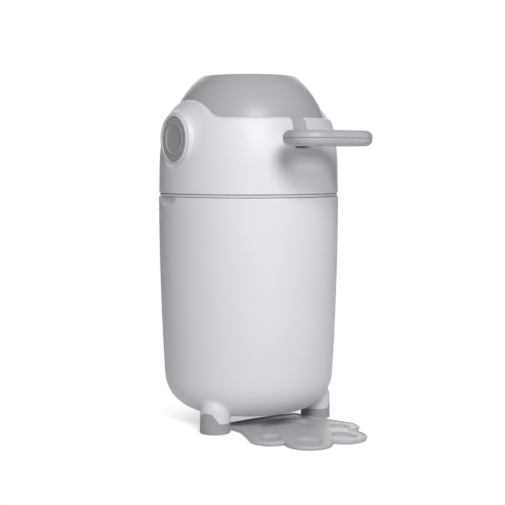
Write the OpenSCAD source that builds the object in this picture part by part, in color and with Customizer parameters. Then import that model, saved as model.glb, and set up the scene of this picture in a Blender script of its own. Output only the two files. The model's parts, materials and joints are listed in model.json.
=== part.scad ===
// Nappy bin with a flip-over drum: body on three feet, lift-off head, ball drum with handle, piston, foot plate.
// Front is -Y, up is +Z. The origin is on the floor, at the centre of the footprint's box.

/* [Body] */
// Outer radius of the body at its rim
body_r = 131; // [126:0.5:136]
// Height of the body's rim above the floor
body_top = 332; // [310:1:360]
// Height of the body's flat underside above the floor
body_floor = 19.5; // [18:0.5:24]
// Radius of the rounded bottom corner
body_corner = 55; // [45:1:60]
// Radius of the gentle curve that the side follows from rim to corner
side_sweep = 4500; // [4000:100:8000]
// Wall thickness of the body and the head
wall = 3; // [2.6:0.1:3.4]
// Bevel on the body's rim
rim_bevel = 0.8; // [0.4:0.1:1.2]

/* [Finger recesses] */
// Angle from the front to the middle of each finger recess
scoop_angle = 99; // [90:1:110]
// Depth of the recess at its middle
scoop_depth = 4.6; // [4.4:0.1:5.4]
// Half of the recess's height, from its middle to where it fades out
scoop_half_h = 11; // [9:0.5:13]
// Half of the recess's width
scoop_half_w = 28; // [22:1:34]
// Distance of the recess's middle below the rim
scoop_drop = 2; // [0:0.5:4]

/* [Feet] */
// How far each foot's centre lies inside the body's radius
foot_inset = 30; // [27:0.5:34]
// Angle from the front to each front foot
foot_angle = 63; // [60:1:66]
// Radius of a foot at the floor
foot_r = 21.8; // [21:0.1:23]
// How much narrower a leg is at the top of its taper
leg_taper = 1.4; // [0.6:0.1:2]
// Height of a foot cap on its inner side
cap_h = 15; // [13:0.5:17]
// Height of a foot cap's tab on its outer side
tab_h = 29.5; // [26:0.5:32]
// Half of the tab's width at its foot
tab_half_w = 15.5; // [12:0.5:17]
// Wall thickness of a foot cap
cap_wall = 2.4; // [2:0.1:2.6]
// Floor thickness of a foot cap
cap_floor = 2.8; // [2.6:0.1:3]
// How far the rubber pads hold everything else off the floor
pad_stand = 0.6; // [0.4:0.1:0.8]
// Outer radius of a rubber pad
pad_r = 15; // [13:0.5:16]

/* [Foot plate] */
// Distance from the body's axis to the plate's straight rear edge
plate_rear = 25; // [20:1:32]
// Half of the plate's width at its rear edge
plate_half_w = 67; // [64:0.5:68]
// Distance from the body's axis to the outer toes' centres
outer_toe_y = 137; // [132:1:142]
// Distance of the outer toes' centres from the middle line
outer_toe_x = 60; // [56:1:64]
// Radius of the plate's outline round an outer toe
outer_lobe_r = 30; // [27:0.5:32]
// Distance from the body's axis to the inner toes' centres
inner_toe_y = 184; // [180:1:188]
// Distance of the inner toes' centres from the middle line
inner_toe_x = 30; // [28:0.5:32]
// Radius of the plate's outline round an inner toe
inner_lobe_r = 33; // [32:0.5:34]
// Height of the plate's top at its middle
plate_h = 9.6; // [9.4:0.1:10.2]
// Radius of the plate's domed top
plate_dome_r = 1500; // [1200:50:2500]
// Thickness of the plate's skin
plate_skin = 2.8; // [2.4:0.1:3]
// Width of the raised line along the plate's edge
plate_rim = 3; // [2.4:0.1:4]
// Depth of the plate's field below that line
plate_field = 0.7; // [0.4:0.1:0.9]
// Depth of the pad's and the toes' recesses
dish_t = 1.1; // [0.6:0.1:1.3]
// Half of the pad recess's width
pad_half_w = 37; // [32:1:40]
// Half of the pad recess's depth from front to back
pad_half_d = 31; // [26:1:34]
// Half of an inner toe recess's width
toe_half_w = 14.5; // [12:0.5:16]
// Half of an inner toe recess's length
toe_half_d = 18; // [15:0.5:20]
// Thickness of the ears that hold the plate under the legs
ear_t = 2; // [1.8:0.1:2.1]
// Width of those ears
ear_w = 14; // [12:1:15]

/* [Bag ring] */
// Width of the seam between body and head
seam = 5; // [4.6:0.1:6]
// Thickness of the ring's flange in the seam
flange_t = 3.4; // [2.8:0.1:3.5]
// How far the flange lies back from the body's outside
flange_inset = 1.4; // [1:0.1:2.4]
// How far the ring's bore lies inside the body's radius
ring_inset = 11; // [11:0.5:15]
// Depth of the ring's skirt below the rim
ring_skirt = 20; // [14:1:26]
// Wall thickness of the ring's skirt
skirt_t = 2.4; // [2:0.1:2.6]

/* [Head] */
// Height of the head's nearly straight part
head_straight = 33; // [30:1:36]
// Radius of the shoulder's curve
shoulder_sweep = 273; // [250:1:320]
// Height above the head's foot where the humps' tighter curve begins
cowl_start = 91; // [88:1:94]
// Radius of the humps' tighter curve
cowl_sweep = 90; // [84:1:100]
// Height of the pivot above the head's foot
pivot_rise = 76; // [74:0.5:78]
// Height of the flat rim above the pivot
rim_rise = 30; // [28:0.5:32]
// Height of the humps above the pivot
hump_rise = 55.5; // [52:0.5:57]
// Radius of a hump's rounded top
hump_top_r = 75; // [70:1:80]
// Distance from the middle to where a hump has run out into the rim
hump_run = 70; // [66:1:74]
// Thickness of the rim's lip
lip_t = 3; // [2.4:0.1:3.6]
// Width of the notch for the handle's stem
notch_w = 24; // [22:0.5:28]
// Depth of that notch below the rim
notch_h = 43; // [42:0.5:46]
// Radius of the notch's rounded upper corners
notch_r = 6; // [3:0.5:7]

/* [Head base] */
// Thickness of the plate that closes the head's underside
base_t = 3; // [2.4:0.1:3.4]
// Depth of the base's collar inside the bag ring
base_spigot = 14; // [10:1:17]
// Height of the drum's seal
seal_h = 9; // [7:0.5:10]
// How far the screw posts lie inside the body's radius
post_inset = 21; // [19:0.5:23]
// Height of the screw posts
post_h = 19; // [14:1:22]
// Number of screw posts
post_count = 6; // [6:2:8]

/* [Drum] */
// How far the drum's ball lies inside the body's radius
drum_inset = 17.5; // [17:0.1:18.5]
// Clearance between the ball and the head's edge round it
drum_gap = 1.1; // [0.8:0.1:1.6]
// Wall thickness of the drum
drum_wall = 3; // [2.4:0.1:3.4]
// Radius of the flat edge round the drum's mouths
mouth_r = 67.3; // [66:0.1:69]
// Inner radius of the chamber tube
chamber_r = 60; // [57:0.5:61]
// Wall thickness of the chamber tube
tube_wall = 2.4; // [1.8:0.1:2.6]
// How far the mouths' lips reach in past the tube's wall
mouth_lip = 2.5; // [1.5:0.1:4]
// Thickness of the mouths' lips
mouth_lip_t = 5.4; // [4.5:0.1:6.5]
// Height of the overlap where the two shells meet
lap_h = 4; // [3:0.5:5]

/* [Pivots] */
// Radius of a pivot cap
cap_r = 31.3; // [30.5:0.1:32]
// How far a pivot cap's outer face lies inside the body's radius
cap_inset = 1.8; // [1:0.1:2.2]
// Radius of the dish in a pivot cap
dish_r = 20.6; // [18:0.2:22]
// Depth of that dish
dish_depth = 1.5; // [1:0.1:1.8]
// Outer radius of the boss round a pivot cap
boss_r = 34.5; // [34.2:0.1:36]
// Width of the raised lip round a pivot cap
boss_lip = 1.4; // [1:0.1:1.6]
// How much wider the boss gets for each millimetre inwards
boss_flare = 0.8; // [0.7:0.05:0.85]
// How far the axle's seat on the head lies inside the body's radius
seat_inset = 9.5; // [9:0.1:10]
// Thickness of the head's bearing plate behind that seat
bearing_t = 3.2; // [2.8:0.1:3.4]
// Radius of the stub axles
axle_r = 9; // [8:0.5:10]
// Length of an axle inside the drum's hub
axle_reach = 16; // [12:1:18]
// Radius of an axle's flange
axle_flange_r = 26; // [25.5:0.5:27]
// Thickness of an axle's flange
axle_flange_t = 3; // [2.5:0.1:3.2]
// Running clearance between axle and bush
run_fit = 0.05; // [0.03:0.01:0.09]
// Wall thickness of a pivot bush
bush_wall = 4; // [3:0.5:4.5]
// Distance of the axle screws from the pivot's axis
axle_screw_ring = 18; // [18:0.2:18.6]

/* [Handle] */
// Gap between the body's side and the loop's near edge
handle_gap = 15; // [13:1:21]
// Depth of the loop from near edge to far edge
handle_depth = 76; // [72:1:84]
// Width of the loop
handle_w = 130; // [116:1:140]
// Width of the loop's bar
bar_w = 20; // [18:0.5:22]
// Height of the loop's bar
bar_h = 21; // [20:0.5:23]
// Rounding of the bar's section
bar_round = 8; // [6:0.5:9]
// Outer corner radius of the loop
loop_corner = 30; // [26:1:34]
// Wall thickness of the handle's shells
handle_wall = 2.6; // [2:0.1:2.8]
// Width of the stem
stem_w = 18; // [17:0.5:19]
// Height of the stem
stem_h = 17; // [16:0.5:18]
// Depth of the parting groove along the bar
parting = 0.6; // [0.4:0.1:0.8]

/* [Piston] */
// Height of the piston
piston_h = 22; // [16:1:28]
// Clearance between the piston's discs and the tube
piston_gap = 0.8; // [0.5:0.1:1.2]
// Thickness of the piston's discs
disc_t = 2.6; // [2:0.1:3]
// Depth of the dish in the piston's faces
piston_dish = 4; // [2:0.5:5]
// Height of the wiper between the discs
wiper_h = 6; // [5:0.5:7]

/* [Fits and fasteners] */
// Clearance between pieces that seat on each other
seat_gap = 0.3; // [0.25:0.05:0.4]
// Radius of the screws' shanks
screw_r = 1.5; // [1.2:0.1:1.7]
// Radius of the screws' heads
screw_head_r = 3; // [2.6:0.1:3.2]
// Height of the screws' heads
screw_head_h = 1.6; // [1.2:0.1:1.7]

/* [Hidden] */
$fn = 96;
eps = 0.01;
// Extra length of a cutting form, so that its ends stand clear of what it cuts.
over = 1;
white = "#eceaf0";
grey = "#a9a8ad";
dark_grey = "#838385";
rubber = "#4c4c50";
steel = "#b9bcc0";

pilot_r = screw_r + 0.05;
screw_clear_r = screw_r + 0.3;
post_r = screw_r + 2.6;
drive_r = 1.2;
drive_depth = 0.8;
foot_screw_l = 14;
base_screw_l = 11;
axle_screw_l = 8.2;
stem_screw_l = 7;
root_screw_l = 9;
loop_screw_l = 15;

foot_ring_r = body_r - foot_inset;
ring_bore = body_r - ring_inset;
post_ring_r = body_r - post_inset;
cap_face = body_r - cap_inset;
axle_seat = body_r - seat_inset;
handle_near = body_r + handle_gap;

side_c = [body_r - side_sweep, body_top];
corner_z = body_floor + body_corner;
corner_reach = sqrt(pow(side_sweep - body_corner, 2) - pow(body_top - corner_z, 2));
corner_c = [side_c[0] + corner_reach, corner_z];
side_end = -asin((body_top - corner_z) / (side_sweep - body_corner));

head_z = body_top + seam;
head_r = body_r - 0.4;
shoulder_z = head_z + head_straight;
shoulder_r = body_r - 1;
shoulder_c = [shoulder_r - shoulder_sweep, shoulder_z];
cowl_angle = asin((head_z + cowl_start - shoulder_z) / shoulder_sweep);
cowl_c = shoulder_c + (shoulder_sweep - cowl_sweep) * [cos(cowl_angle), sin(cowl_angle)];
pivot_z = head_z + pivot_rise;
rim_z = pivot_z + rim_rise;
hump_z = pivot_z + hump_rise;
cowl_end = asin((hump_z + 2 - cowl_c[1]) / cowl_sweep);

drum_r = body_r - drum_inset;
drum_half = sqrt(pow(drum_r, 2) - pow(mouth_r, 2));
tube_out = chamber_r + tube_wall;
tube_half = drum_half - mouth_lip_t;
lip_r = chamber_r - mouth_lip;

scoop_tube = (pow(scoop_half_h, 2) + pow(scoop_depth, 2)) / (2 * scoop_depth);
scoop_sweep = 1 / (2 * scoop_depth / pow(scoop_half_w, 2) - 1 / body_r);

flange_top = head_z - 1.3;
flange_low = flange_top - flange_t;
base_z = flange_top + seat_gap;
base_r = head_r - wall - 0.2;
spigot_out = ring_bore - 0.6;
spigot_in = spigot_out - 2.8;
collar_gap = 4;
collar_t = 2.4;
post_rib_t = 2.4;
rim_disc_r = shoulder_r - 13;
notch_cheek = wall + 0.4;

leg_top = corner_z;
ear_z = pad_stand + cap_floor;
front_leg_z = ear_z + ear_t;
pocket_r = foot_r - leg_taper - wall;
spigot_pocket_r = foot_r - cap_wall - seat_gap - wall - 0.4;

bush_out = axle_r + run_fit + bush_wall;
hub_r = bush_out + 4;
hub_face = drum_r - 0.6;
hub_root = drum_r - axle_reach - 2.5;
axle_tip = drum_r - axle_reach;
thrust_t = 1.2;
hub_end = 1;
bearing_in = axle_seat - bearing_t;
stop_in = hub_r + 6.5;
stop_out = stop_in + 4.5;
stop_face = drum_r + 0.8;
lug_sweep = 16;
stop_ease = 0.5;
lug_root = 5;
tube_collar_t = 2.2;
tube_collar_h = 8;
lap_t = 2.4;
lap_root = 8;
cap_skin = 1.2;
cap_rim_t = 2;
axle_bore_wall = 3;

handle_mid = handle_near + handle_depth / 2;
loop_w = handle_w - bar_w;
loop_d = handle_depth - bar_w;
loop_r = loop_corner - bar_w / 2;
tongue_w = stem_w - 2 * handle_wall - 2 * seat_gap;
tongue_h = stem_h - 2 * handle_wall - 2 * seat_gap;
tongue_end = handle_near + 0.7 * bar_w;
stem_near = drum_r + 1.2;
stem_screws = [(stem_near + handle_near) / 2, handle_near + bar_w / 2 - 2];
loop_screw_x = loop_w / 2 - loop_r + 2;
loop_screw_y = handle_near + handle_depth - bar_w / 2;

ear_reach = foot_ring_r * sin(foot_angle) - plate_half_w + plate_rim;
plate_waist = 74;
pad_y = 81;
dome_y = 120;
dome_reach = 150;
plate_pad_t = 2;
pad_seat_r = 5;
pad_post_t = 1.6;
pad_sink = 0.8;
pad_spots = [[-50, -45], [50, -45], [-inner_toe_x, -inner_toe_y], [inner_toe_x, -inner_toe_y]];

piston_r = chamber_r - piston_gap;
piston_low = -tube_half + seat_gap;
piston_face_rim = 9;
piston_slope = 6;
piston_rib = 3;
axle_screw_angles = [-60, 0, 60];
boss_face = cap_face - 0.8;
boss_depth = 20;

// The footprint's box runs from the loop's far edge to the body's back.
axis_y = (handle_near + handle_depth - body_r) / 2;

// Points of an arc, first point included.
function arc(c, r, a0, a1, n) = [for (i = [0:n]) let (a = a0 + (a1 - a0) * i / n) c + r * [cos(a), sin(a)]];
// Points of an arc that goes on from the last point of a line.
function arc_on(c, r, a0, a1, n) = [for (i = [1:n]) let (a = a0 + (a1 - a0) * i / n) c + r * [cos(a), sin(a)]];
function reversed(list) = [for (i = [len(list) - 1:-1:0]) list[i]];
// Radius of the drum's ball, grown by g, at a height above the floor.
function ball_at(z, g = 0) = sqrt(pow(drum_r + g, 2) - pow(z - pivot_z, 2));
// Angle on that ball from the equator up to a height.
function ball_angle(z, g = 0) = asin((z - pivot_z) / (drum_r + g));

module on_axis() {
    translate([0, axis_y, 0]) children();
}

// Turns what is drawn on the front side to another angle, positive towards +X.
module at_angle(a) {
    rotate([0, 0, a]) children();
}

// Draws along a pivot: the child's +Z points outwards, its -Y to the front and its +X down.
module on_pivot(side) {
    mirror([side < 0 ? 1 : 0, 0, 0]) translate([0, 0, pivot_z]) rotate([0, 90, 0]) children();
}

module at_axle_screws() {
    for (a = axle_screw_angles) rotate([0, 0, a]) translate([axle_screw_ring, 0, 0]) children();
}

module screw(length) {
    difference() {
        union() {
            cylinder(r = screw_head_r, h = screw_head_h);
            cylinder(r = screw_r, h = screw_head_h + length);
        }
        translate([0, 0, -eps]) cylinder(r = drive_r, h = drive_depth, $fn = 6);
    }
}

// ---- body ----

function body_line(inset) = concat(
    arc(side_c, side_sweep - inset, -asin(rim_bevel / side_sweep), side_end, 10),
    arc_on(corner_c, body_corner - inset, side_end, -90, 16),
    [[0, body_floor + inset]]);

module body_form() {
    rotate_extrude() polygon(concat([[0, body_top], [body_r - rim_bevel, body_top]], body_line(0)));
}

module body_hollow() {
    rotate_extrude() polygon(concat([[0, body_top + 1], [body_r - wall, body_top + 1]], body_line(wall)));
}

// A ring whose tube cuts a shallow recess that fades out at its sides and its foot.
module scoop(grow) {
    reach = body_r - scoop_depth + scoop_tube + scoop_sweep;
    for (side = [-1, 1])
        at_angle(side * scoop_angle) translate([0, -reach, body_top - scoop_drop])
            rotate_extrude() translate([scoop_sweep, 0]) circle(r = scoop_tube + grow);
}

module leg_cone(inset, z0, z1) {
    slope = leg_taper / leg_top;
    wide = foot_r - inset;
    translate([0, 0, z0]) cylinder(r1 = wide - slope * z0, r2 = wide - slope * z1, h = z1 - z0);
}

// Outline of the tab, seen from outside: a flat top with soft falls to each side.
function tab_line(ease) = [for (i = [-12:12])
    let (t = abs(i) / 12, s = t < 0.2 ? 1 : (1 + cos(180 * (t - 0.2) / 0.8)) / 2)
    [i / 12 * (tab_half_w + ease), cap_h + (tab_h - cap_h) * s + ease]];

// Everything that belongs to a foot cap: a low band all round, and the tab on the outer side.
module cap_zone(ease) {
    translate([0, 0, -1]) cylinder(r = foot_r + 8, h = cap_h + ease + 1);
    rotate([90, 0, 0]) linear_extrude(foot_r + 8)
        polygon(concat([[-tab_half_w - ease, 1]], tab_line(ease), [[tab_half_w + ease, 1]]));
}

module leg(bottom) {
    difference() {
        leg_cone(0, bottom, leg_top);
        difference() {
            cap_zone(seat_gap);
            leg_cone(cap_wall + seat_gap, -2, leg_top);
        }
    }
}

module leg_pocket(bottom) {
    difference() {
        union() {
            translate([0, 0, bottom + wall]) cylinder(r = spigot_pocket_r, h = tab_h);
            translate([0, 0, tab_h + 3]) cylinder(r = pocket_r, h = leg_top - tab_h);
        }
        cylinder(r = post_r, h = bottom + 16);
    }
    cylinder(r = pilot_r, h = bottom + 14);
}

// Feet at their places: front left, front right and rear.
module at_foot(index) {
    at_angle([-foot_angle, foot_angle, 180][index]) translate([0, -foot_ring_r, 0]) children();
}

function leg_bottom(index) = index < 2 ? front_leg_z : ear_z;

module body_shell() on_axis() color(white) difference() {
    union() {
        body_form();
        for (i = [0:2]) at_foot(i) leg(leg_bottom(i));
    }
    difference() {
        body_hollow();
        scoop(wall);
    }
    scoop(0);
    for (i = [0:2]) at_foot(i) leg_pocket(leg_bottom(i));
}

module foot_cap(index) {
    difference() {
        intersection() {
            leg_cone(0, pad_stand, leg_top);
            cap_zone(0);
        }
        leg_cone(cap_wall, pad_stand + cap_floor, leg_top + 1);
        translate([0, 0, -1]) cylinder(r = pad_r + 0.1, h = 1 + pad_stand + 0.8);
        translate([0, 0, -1]) cylinder(r = screw_head_r + seat_gap, h = 1 + pad_stand + 1.9);
        cylinder(r = screw_clear_r, h = 20);
        if (index < 2) ear_path(index, seat_gap);
    }
}

module foot_cap_node(index) {
    on_axis() color(grey) at_foot(index) foot_cap(index);
}

module foot_pads() on_axis() color(rubber)
    for (i = [0:2]) at_foot(i) difference() {
        cylinder(r = pad_r, h = pad_stand + 0.8);
        translate([0, 0, -1]) cylinder(r = screw_head_r + 1.5, h = 4);
    }

module foot_screws() on_axis() color(steel)
    for (i = [0:2]) at_foot(i) translate([0, 0, pad_stand + 0.3]) screw(foot_screw_l);

// ---- foot plate ----

// An ear's way from the plate to a foot's centre, drawn in that foot's own frame.
module ear_shape(index, ease) {
    turn = index == 0 ? foot_angle : -foot_angle;
    side = index == 0 ? 1 : -1;
    rotate(turn) translate([side * ear_reach / 2, 0]) square([ear_reach, ear_w + 2 * ease], center = true);
}

module ear_path(index, ease) {
    translate([0, 0, ear_z]) linear_extrude(ear_t + ease) ear_shape(index, ease);
}

module paw_outline(inset) {
    difference() {
        union() {
            for (side = [-1, 1]) {
                translate([side * outer_toe_x, -outer_toe_y]) circle(r = outer_lobe_r - inset);
                translate([side * inner_toe_x, -inner_toe_y]) circle(r = inner_lobe_r - inset);
            }
            polygon([[-plate_half_w + inset, -plate_rear - inset], [plate_half_w - inset, -plate_rear - inset],
                [plate_half_w - inset, -plate_waist],
                [outer_toe_x + outer_lobe_r * 0.8 - inset, -outer_toe_y + outer_lobe_r * 0.6],
                [outer_toe_x, -outer_toe_y], [inner_toe_x, -inner_toe_y], [-inner_toe_x, -inner_toe_y],
                [-outer_toe_x, -outer_toe_y],
                [-outer_toe_x - outer_lobe_r * 0.8 + inset, -outer_toe_y + outer_lobe_r * 0.6],
                [-plate_half_w + inset, -plate_waist]]);
        }
        for (i = [0, 1]) at_foot(i) circle(r = foot_r + 2 * seat_gap + inset);
    }
}

// The dome's section: flat in the middle, then falling with the square of the radius.
function dome_line(drop) = [for (i = [0:8]) let (r = dome_reach * i / 8, fall = max(r, dome_reach / 8))
    [r, plate_h - drop - pow(fall, 2) / (2 * plate_dome_r)]];

// Everything below a shallow dome, drop below the plate's top.
module dome(drop) {
    translate([0, -dome_y, 0]) rotate_extrude()
        polygon(concat([[0, -pad_stand]], dome_line(drop), [[dome_reach, -pad_stand]]));
}

// A layer of the plate from z0 up to a dome, drawn in by inset.
module layer(inset, drop, z0) {
    intersection() {
        translate([0, 0, z0]) linear_extrude(plate_h - z0 + 4) paw_outline(inset);
        dome(drop);
    }
}

function oval(half_x, half_y) = [for (a = [0:12:348]) [half_x * cos(a), half_y * sin(a)]];

// Outlines of the pad's recess and the four toes' recesses, grown by more.
module print_outline(more) {
    translate([0, -pad_y]) polygon(oval(pad_half_w + more, pad_half_d + more));
    for (side = [-1, 1]) {
        translate([side * outer_toe_x, -outer_toe_y]) rotate(side * 20)
            polygon(oval(toe_half_w - 2 + more, toe_half_d - 2 + more));
        translate([side * inner_toe_x, -inner_toe_y + 2]) rotate(side * 6)
            polygon(oval(toe_half_w + more, toe_half_d + more));
    }
}

module plate_ears() {
    for (i = [0, 1]) at_foot(i) translate([0, 0, ear_z]) linear_extrude(ear_t) difference() {
        union() {
            ear_shape(i, 0);
            circle(r = ear_w / 2 + 2);
        }
        circle(r = screw_clear_r);
    }
}

module foot_plate() on_axis() color(grey) {
    difference() {
        layer(0, 0, pad_stand);
        difference() {
            layer(plate_rim, -1, pad_stand);
            dome(plate_field);
        }
        difference() {
            translate([0, 0, pad_stand]) linear_extrude(plate_h) print_outline(0);
            dome(plate_field + dish_t);
        }
        difference() {
            layer(plate_rim, plate_skin + plate_field, pad_stand - 1);
            difference() {
                translate([0, 0, pad_stand - 2]) linear_extrude(plate_h) print_outline(plate_skin);
                dome(plate_skin + plate_field + dish_t);
            }
            at_pads() translate([0, 0, plate_pad_t - pad_sink]) cylinder(r = pad_seat_r + pad_post_t, h = plate_h);
        }
        at_pads() cylinder(r = pad_seat_r + 0.1, h = plate_pad_t);
    }
    plate_ears();
}

module at_pads() {
    for (p = pad_spots) translate([p[0], p[1], 0]) children();
}

module plate_pads() on_axis() color(rubber) at_pads() cylinder(r = pad_seat_r, h = plate_pad_t);

// ---- bag ring ----

module bag_ring() on_axis() color(white) rotate_extrude() {
    outer = body_r - flange_inset;
    skirt_out = ring_bore + skirt_t;
    polygon([[ring_bore, flange_top], [outer - 0.6, flange_top], [outer, flange_top - 0.6],
        [outer, flange_low + 1.3], [outer - 0.6, flange_low + 0.7], [body_r - wall, flange_low],
        [skirt_out, flange_low], [skirt_out, body_top - ring_skirt + 1],
        [skirt_out - 1, body_top - ring_skirt], [ring_bore, body_top - ring_skirt]]);
}

// ---- head ----

function head_line(inset, top_angle) = concat(
    [[head_r - inset, head_z], [shoulder_r - inset, shoulder_z]],
    arc_on(shoulder_c, shoulder_sweep - inset, 0, cowl_angle, 6),
    arc_on(cowl_c, cowl_sweep - inset, cowl_angle, top_angle, 8));

module head_hollow() {
    rotate_extrude() polygon(concat([[0, head_z - 1], [head_r - wall, head_z - 1]],
        head_line(wall, cowl_end + 6), [[0, hump_z + 8]]));
}

// The rim's line seen along the pivots: level, with a hump in the middle that runs out in two arcs.
function hump_line() = let (
        rise = hump_z - rim_z,
        run_r = (pow(hump_run, 2) + pow(rise, 2)) / (2 * rise) - hump_top_r,
        turn = asin(hump_run / (hump_top_r + run_r)),
        out = body_r + 10,
        high = hump_z + 20)
    concat(arc([0, hump_z - hump_top_r], hump_top_r, 90 + turn, 90 - turn, 20),
        arc_on([hump_run, rim_z + run_r], run_r, 270 - turn, 270, 10),
        [[out, rim_z], [out, high], [-out, high], [-out, rim_z]],
        arc([-hump_run, rim_z + run_r], run_r, 270, 270 + turn - 1, 9));

module above_rim() {
    rotate([90, 0, 90]) linear_extrude(4 * body_r, center = true) polygon(hump_line());
}

// Outline of the notch in the rim, open at the top, with rounded upper corners, grown by more.
function notch_line(more) = let (
        half = notch_w / 2 + more,
        low = rim_z - notch_h - more,
        side = notch_w / 2 + notch_r,
        turn_z = rim_z - notch_r)
    concat([[-half, low + 2], [-half + 2, low], [half - 2, low], [half, low + 2]],
        arc([side, turn_z], notch_r - more, 180, 90, 6), [[side, rim_z + 5], [-side, rim_z + 5]],
        arc([-side, turn_z], notch_r - more, 90, 0, 6));

module notch() {
    rotate([90, 0, 0]) linear_extrude(body_r + 10) polygon(notch_line(0));
}

// Walls round the notch, from the head's outside in to the ball.
module notch_cheeks() {
    difference() {
        intersection() {
            rotate_extrude() polygon(concat([[0, head_z]], head_line(wall / 2, cowl_end), [[0, hump_z]]));
            rotate([90, 0, 0]) linear_extrude(2 * body_r, center = true) polygon(notch_line(notch_cheek));
        }
        translate([0, 0, rim_z - lip_t / 2]) cylinder(r = 2 * body_r, h = notch_h);
    }
}

// The boss's face is a ring with a bevelled edge, whose flank widens inwards until it meets the wall.
module boss_flank() {
    root = boss_face - boss_depth;
    rotate_extrude() polygon([[0, root], [0, boss_face], [boss_r - 1, boss_face], [boss_r, boss_face - 0.8],
        [boss_r + boss_flare * boss_depth, root]]);
}

// Space behind the bearing plate and under the flank, one wall's thickness inside it.
module boss_hollow() {
    root = boss_face - boss_depth;
    edge = boss_r + boss_flare * (boss_face - bearing_in) - wall * sqrt(1 + pow(boss_flare, 2));
    rotate_extrude() polygon([[0, root], [0, bearing_in], [edge, bearing_in],
        [edge + boss_flare * (bearing_in - root), root]]);
}

module boss_tube() {
    translate([0, 0, bearing_in]) cylinder(r = boss_r - 1, h = boss_face - bearing_in);
    translate([0, 0, axle_seat]) cylinder(r = cap_r + boss_lip, h = boss_face + 0.5 - axle_seat);
}

module boss_bore() {
    translate([0, 0, axle_seat]) cylinder(r = cap_r + seat_gap, h = 30);
    translate([0, 0, drum_r]) cylinder(r = axle_r + 0.4, h = 30);
    at_axle_screws() translate([0, 0, drum_r]) cylinder(r = pilot_r, h = 30);
}

// Inner side of the bearing plate: screw posts and the half ring that stops the drum's lug.
module boss_inside() {
    at_axle_screws() translate([0, 0, stop_face + 0.4]) difference() {
        cylinder(r = post_r - 0.7, h = bearing_in - stop_face - 0.4);
        translate([0, 0, -1]) cylinder(r = pilot_r, h = bearing_in);
    }
    rotate([0, 0, -90 + stop_ease]) translate([0, 0, stop_face])
        rotate_extrude(angle = 180 - lug_sweep - 2 * stop_ease)
            translate([stop_in, 0]) square([stop_out - stop_in, bearing_in - stop_face + 0.5]);
}

module head_posts() {
    rib = head_r - wall / 2 - post_ring_r;
    for (i = [0:post_count - 1]) at_angle((i + 0.5) * 360 / post_count) {
        translate([0, -post_ring_r, base_z + base_t]) difference() {
            union() {
                cylinder(r = post_r, h = post_h);
                translate([-post_rib_t / 2, -rib, 0.5]) cube([post_rib_t, rib - post_r + 1, post_h - 0.5]);
            }
            translate([0, 0, -1]) cylinder(r = pilot_r, h = post_h - 1);
        }
    }
}

module head_shell() on_axis() color(white) {
    difference() {
        union() {
            difference() {
                union() {
                    rotate_extrude() polygon(concat(head_line(0, cowl_end), reversed(head_line(wall, cowl_end))));
                    translate([0, 0, rim_z - lip_t]) cylinder(r = rim_disc_r, h = lip_t);
                    for (side = [-1, 1]) on_pivot(side) boss_flank();
                }
                difference() {
                    union() {
                        head_hollow();
                        for (side = [-1, 1]) on_pivot(side) boss_hollow();
                    }
                    translate([0, 0, rim_z - lip_t]) cylinder(r = 2 * body_r, h = lip_t);
                }
                above_rim();
            }
            for (side = [-1, 1]) on_pivot(side) boss_tube();
            notch_cheeks();
        }
        translate([0, 0, pivot_z]) sphere(r = drum_r + drum_gap);
        for (side = [-1, 1]) on_pivot(side) {
            boss_bore();
            translate([0, 0, drum_r - 6]) cylinder(r = stop_out + 1, h = bearing_in - drum_r + 6);
        }
        for (turn = [0, 180]) at_angle(turn) notch();
    }
    for (side = [-1, 1]) on_pivot(side) boss_inside();
    head_posts();
}

module head_base() on_axis() color(white) difference() {
    rotate_extrude() {
        collar_in = ball_at(base_z + base_t + seal_h) + collar_gap;
        collar_out = collar_in + collar_t;
        polygon([[collar_in - collar_gap, base_z], [spigot_in, base_z], [spigot_in, base_z - base_spigot],
            [spigot_out - 1, base_z - base_spigot], [spigot_out, base_z - base_spigot + 2], [spigot_out, base_z],
            [base_r, base_z], [base_r, base_z + base_t], [collar_out, base_z + base_t],
            [collar_out, base_z + base_t + seal_h], [collar_in, base_z + base_t + seal_h],
            [collar_in, base_z + base_t], [collar_in - collar_gap, base_z + base_t]]);
    }
    for (i = [0:post_count - 1]) at_angle((i + 0.5) * 360 / post_count)
        translate([0, -post_ring_r, base_z - 1]) cylinder(r = screw_clear_r, h = base_t + 2);
}

module head_base_screws() on_axis() color(steel)
    for (i = [0:post_count - 1]) at_angle((i + 0.5) * 360 / post_count)
        translate([0, -post_ring_r, base_z - screw_head_h]) screw(base_screw_l);

// Soft ring on the base plate, with a lip that follows the drum's ball.
module drum_seal() on_axis() color(rubber) rotate_extrude() {
    low = base_z + base_t;
    high = low + seal_h - 0.5;
    outer = ball_at(low + seal_h) + collar_gap;
    polygon(concat([[outer, low], [outer, high]],
        arc([0, pivot_z], drum_r + seat_gap, ball_angle(high, seat_gap), ball_angle(low + 3, seat_gap), 5),
        [[ball_at(low + 3) + 2.4, low + 2], [outer - collar_gap, low + 2], [outer - collar_gap, low]]));
}

// ---- pivots ----

module pivot_axle(side) on_axis() color(grey) on_pivot(side) difference() {
    union() {
        translate([0, 0, axle_seat]) cylinder(r = axle_flange_r, h = axle_flange_t);
        translate([0, 0, axle_tip + 1]) cylinder(r = axle_r, h = axle_seat - axle_tip);
        translate([0, 0, axle_tip]) cylinder(r1 = axle_r - 1, r2 = axle_r, h = 1);
    }
    at_axle_screws() translate([0, 0, drum_r]) cylinder(r = screw_clear_r, h = 30);
    translate([0, 0, axle_tip - 1]) cylinder(r = axle_r - axle_bore_wall, h = axle_seat - axle_tip + 1);
}

module pivot_screws() on_axis() color(steel)
    for (side = [-1, 1]) on_pivot(side) at_axle_screws()
        translate([0, 0, axle_seat + axle_flange_t + screw_head_h]) rotate([180, 0, 0]) screw(axle_screw_l);

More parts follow.
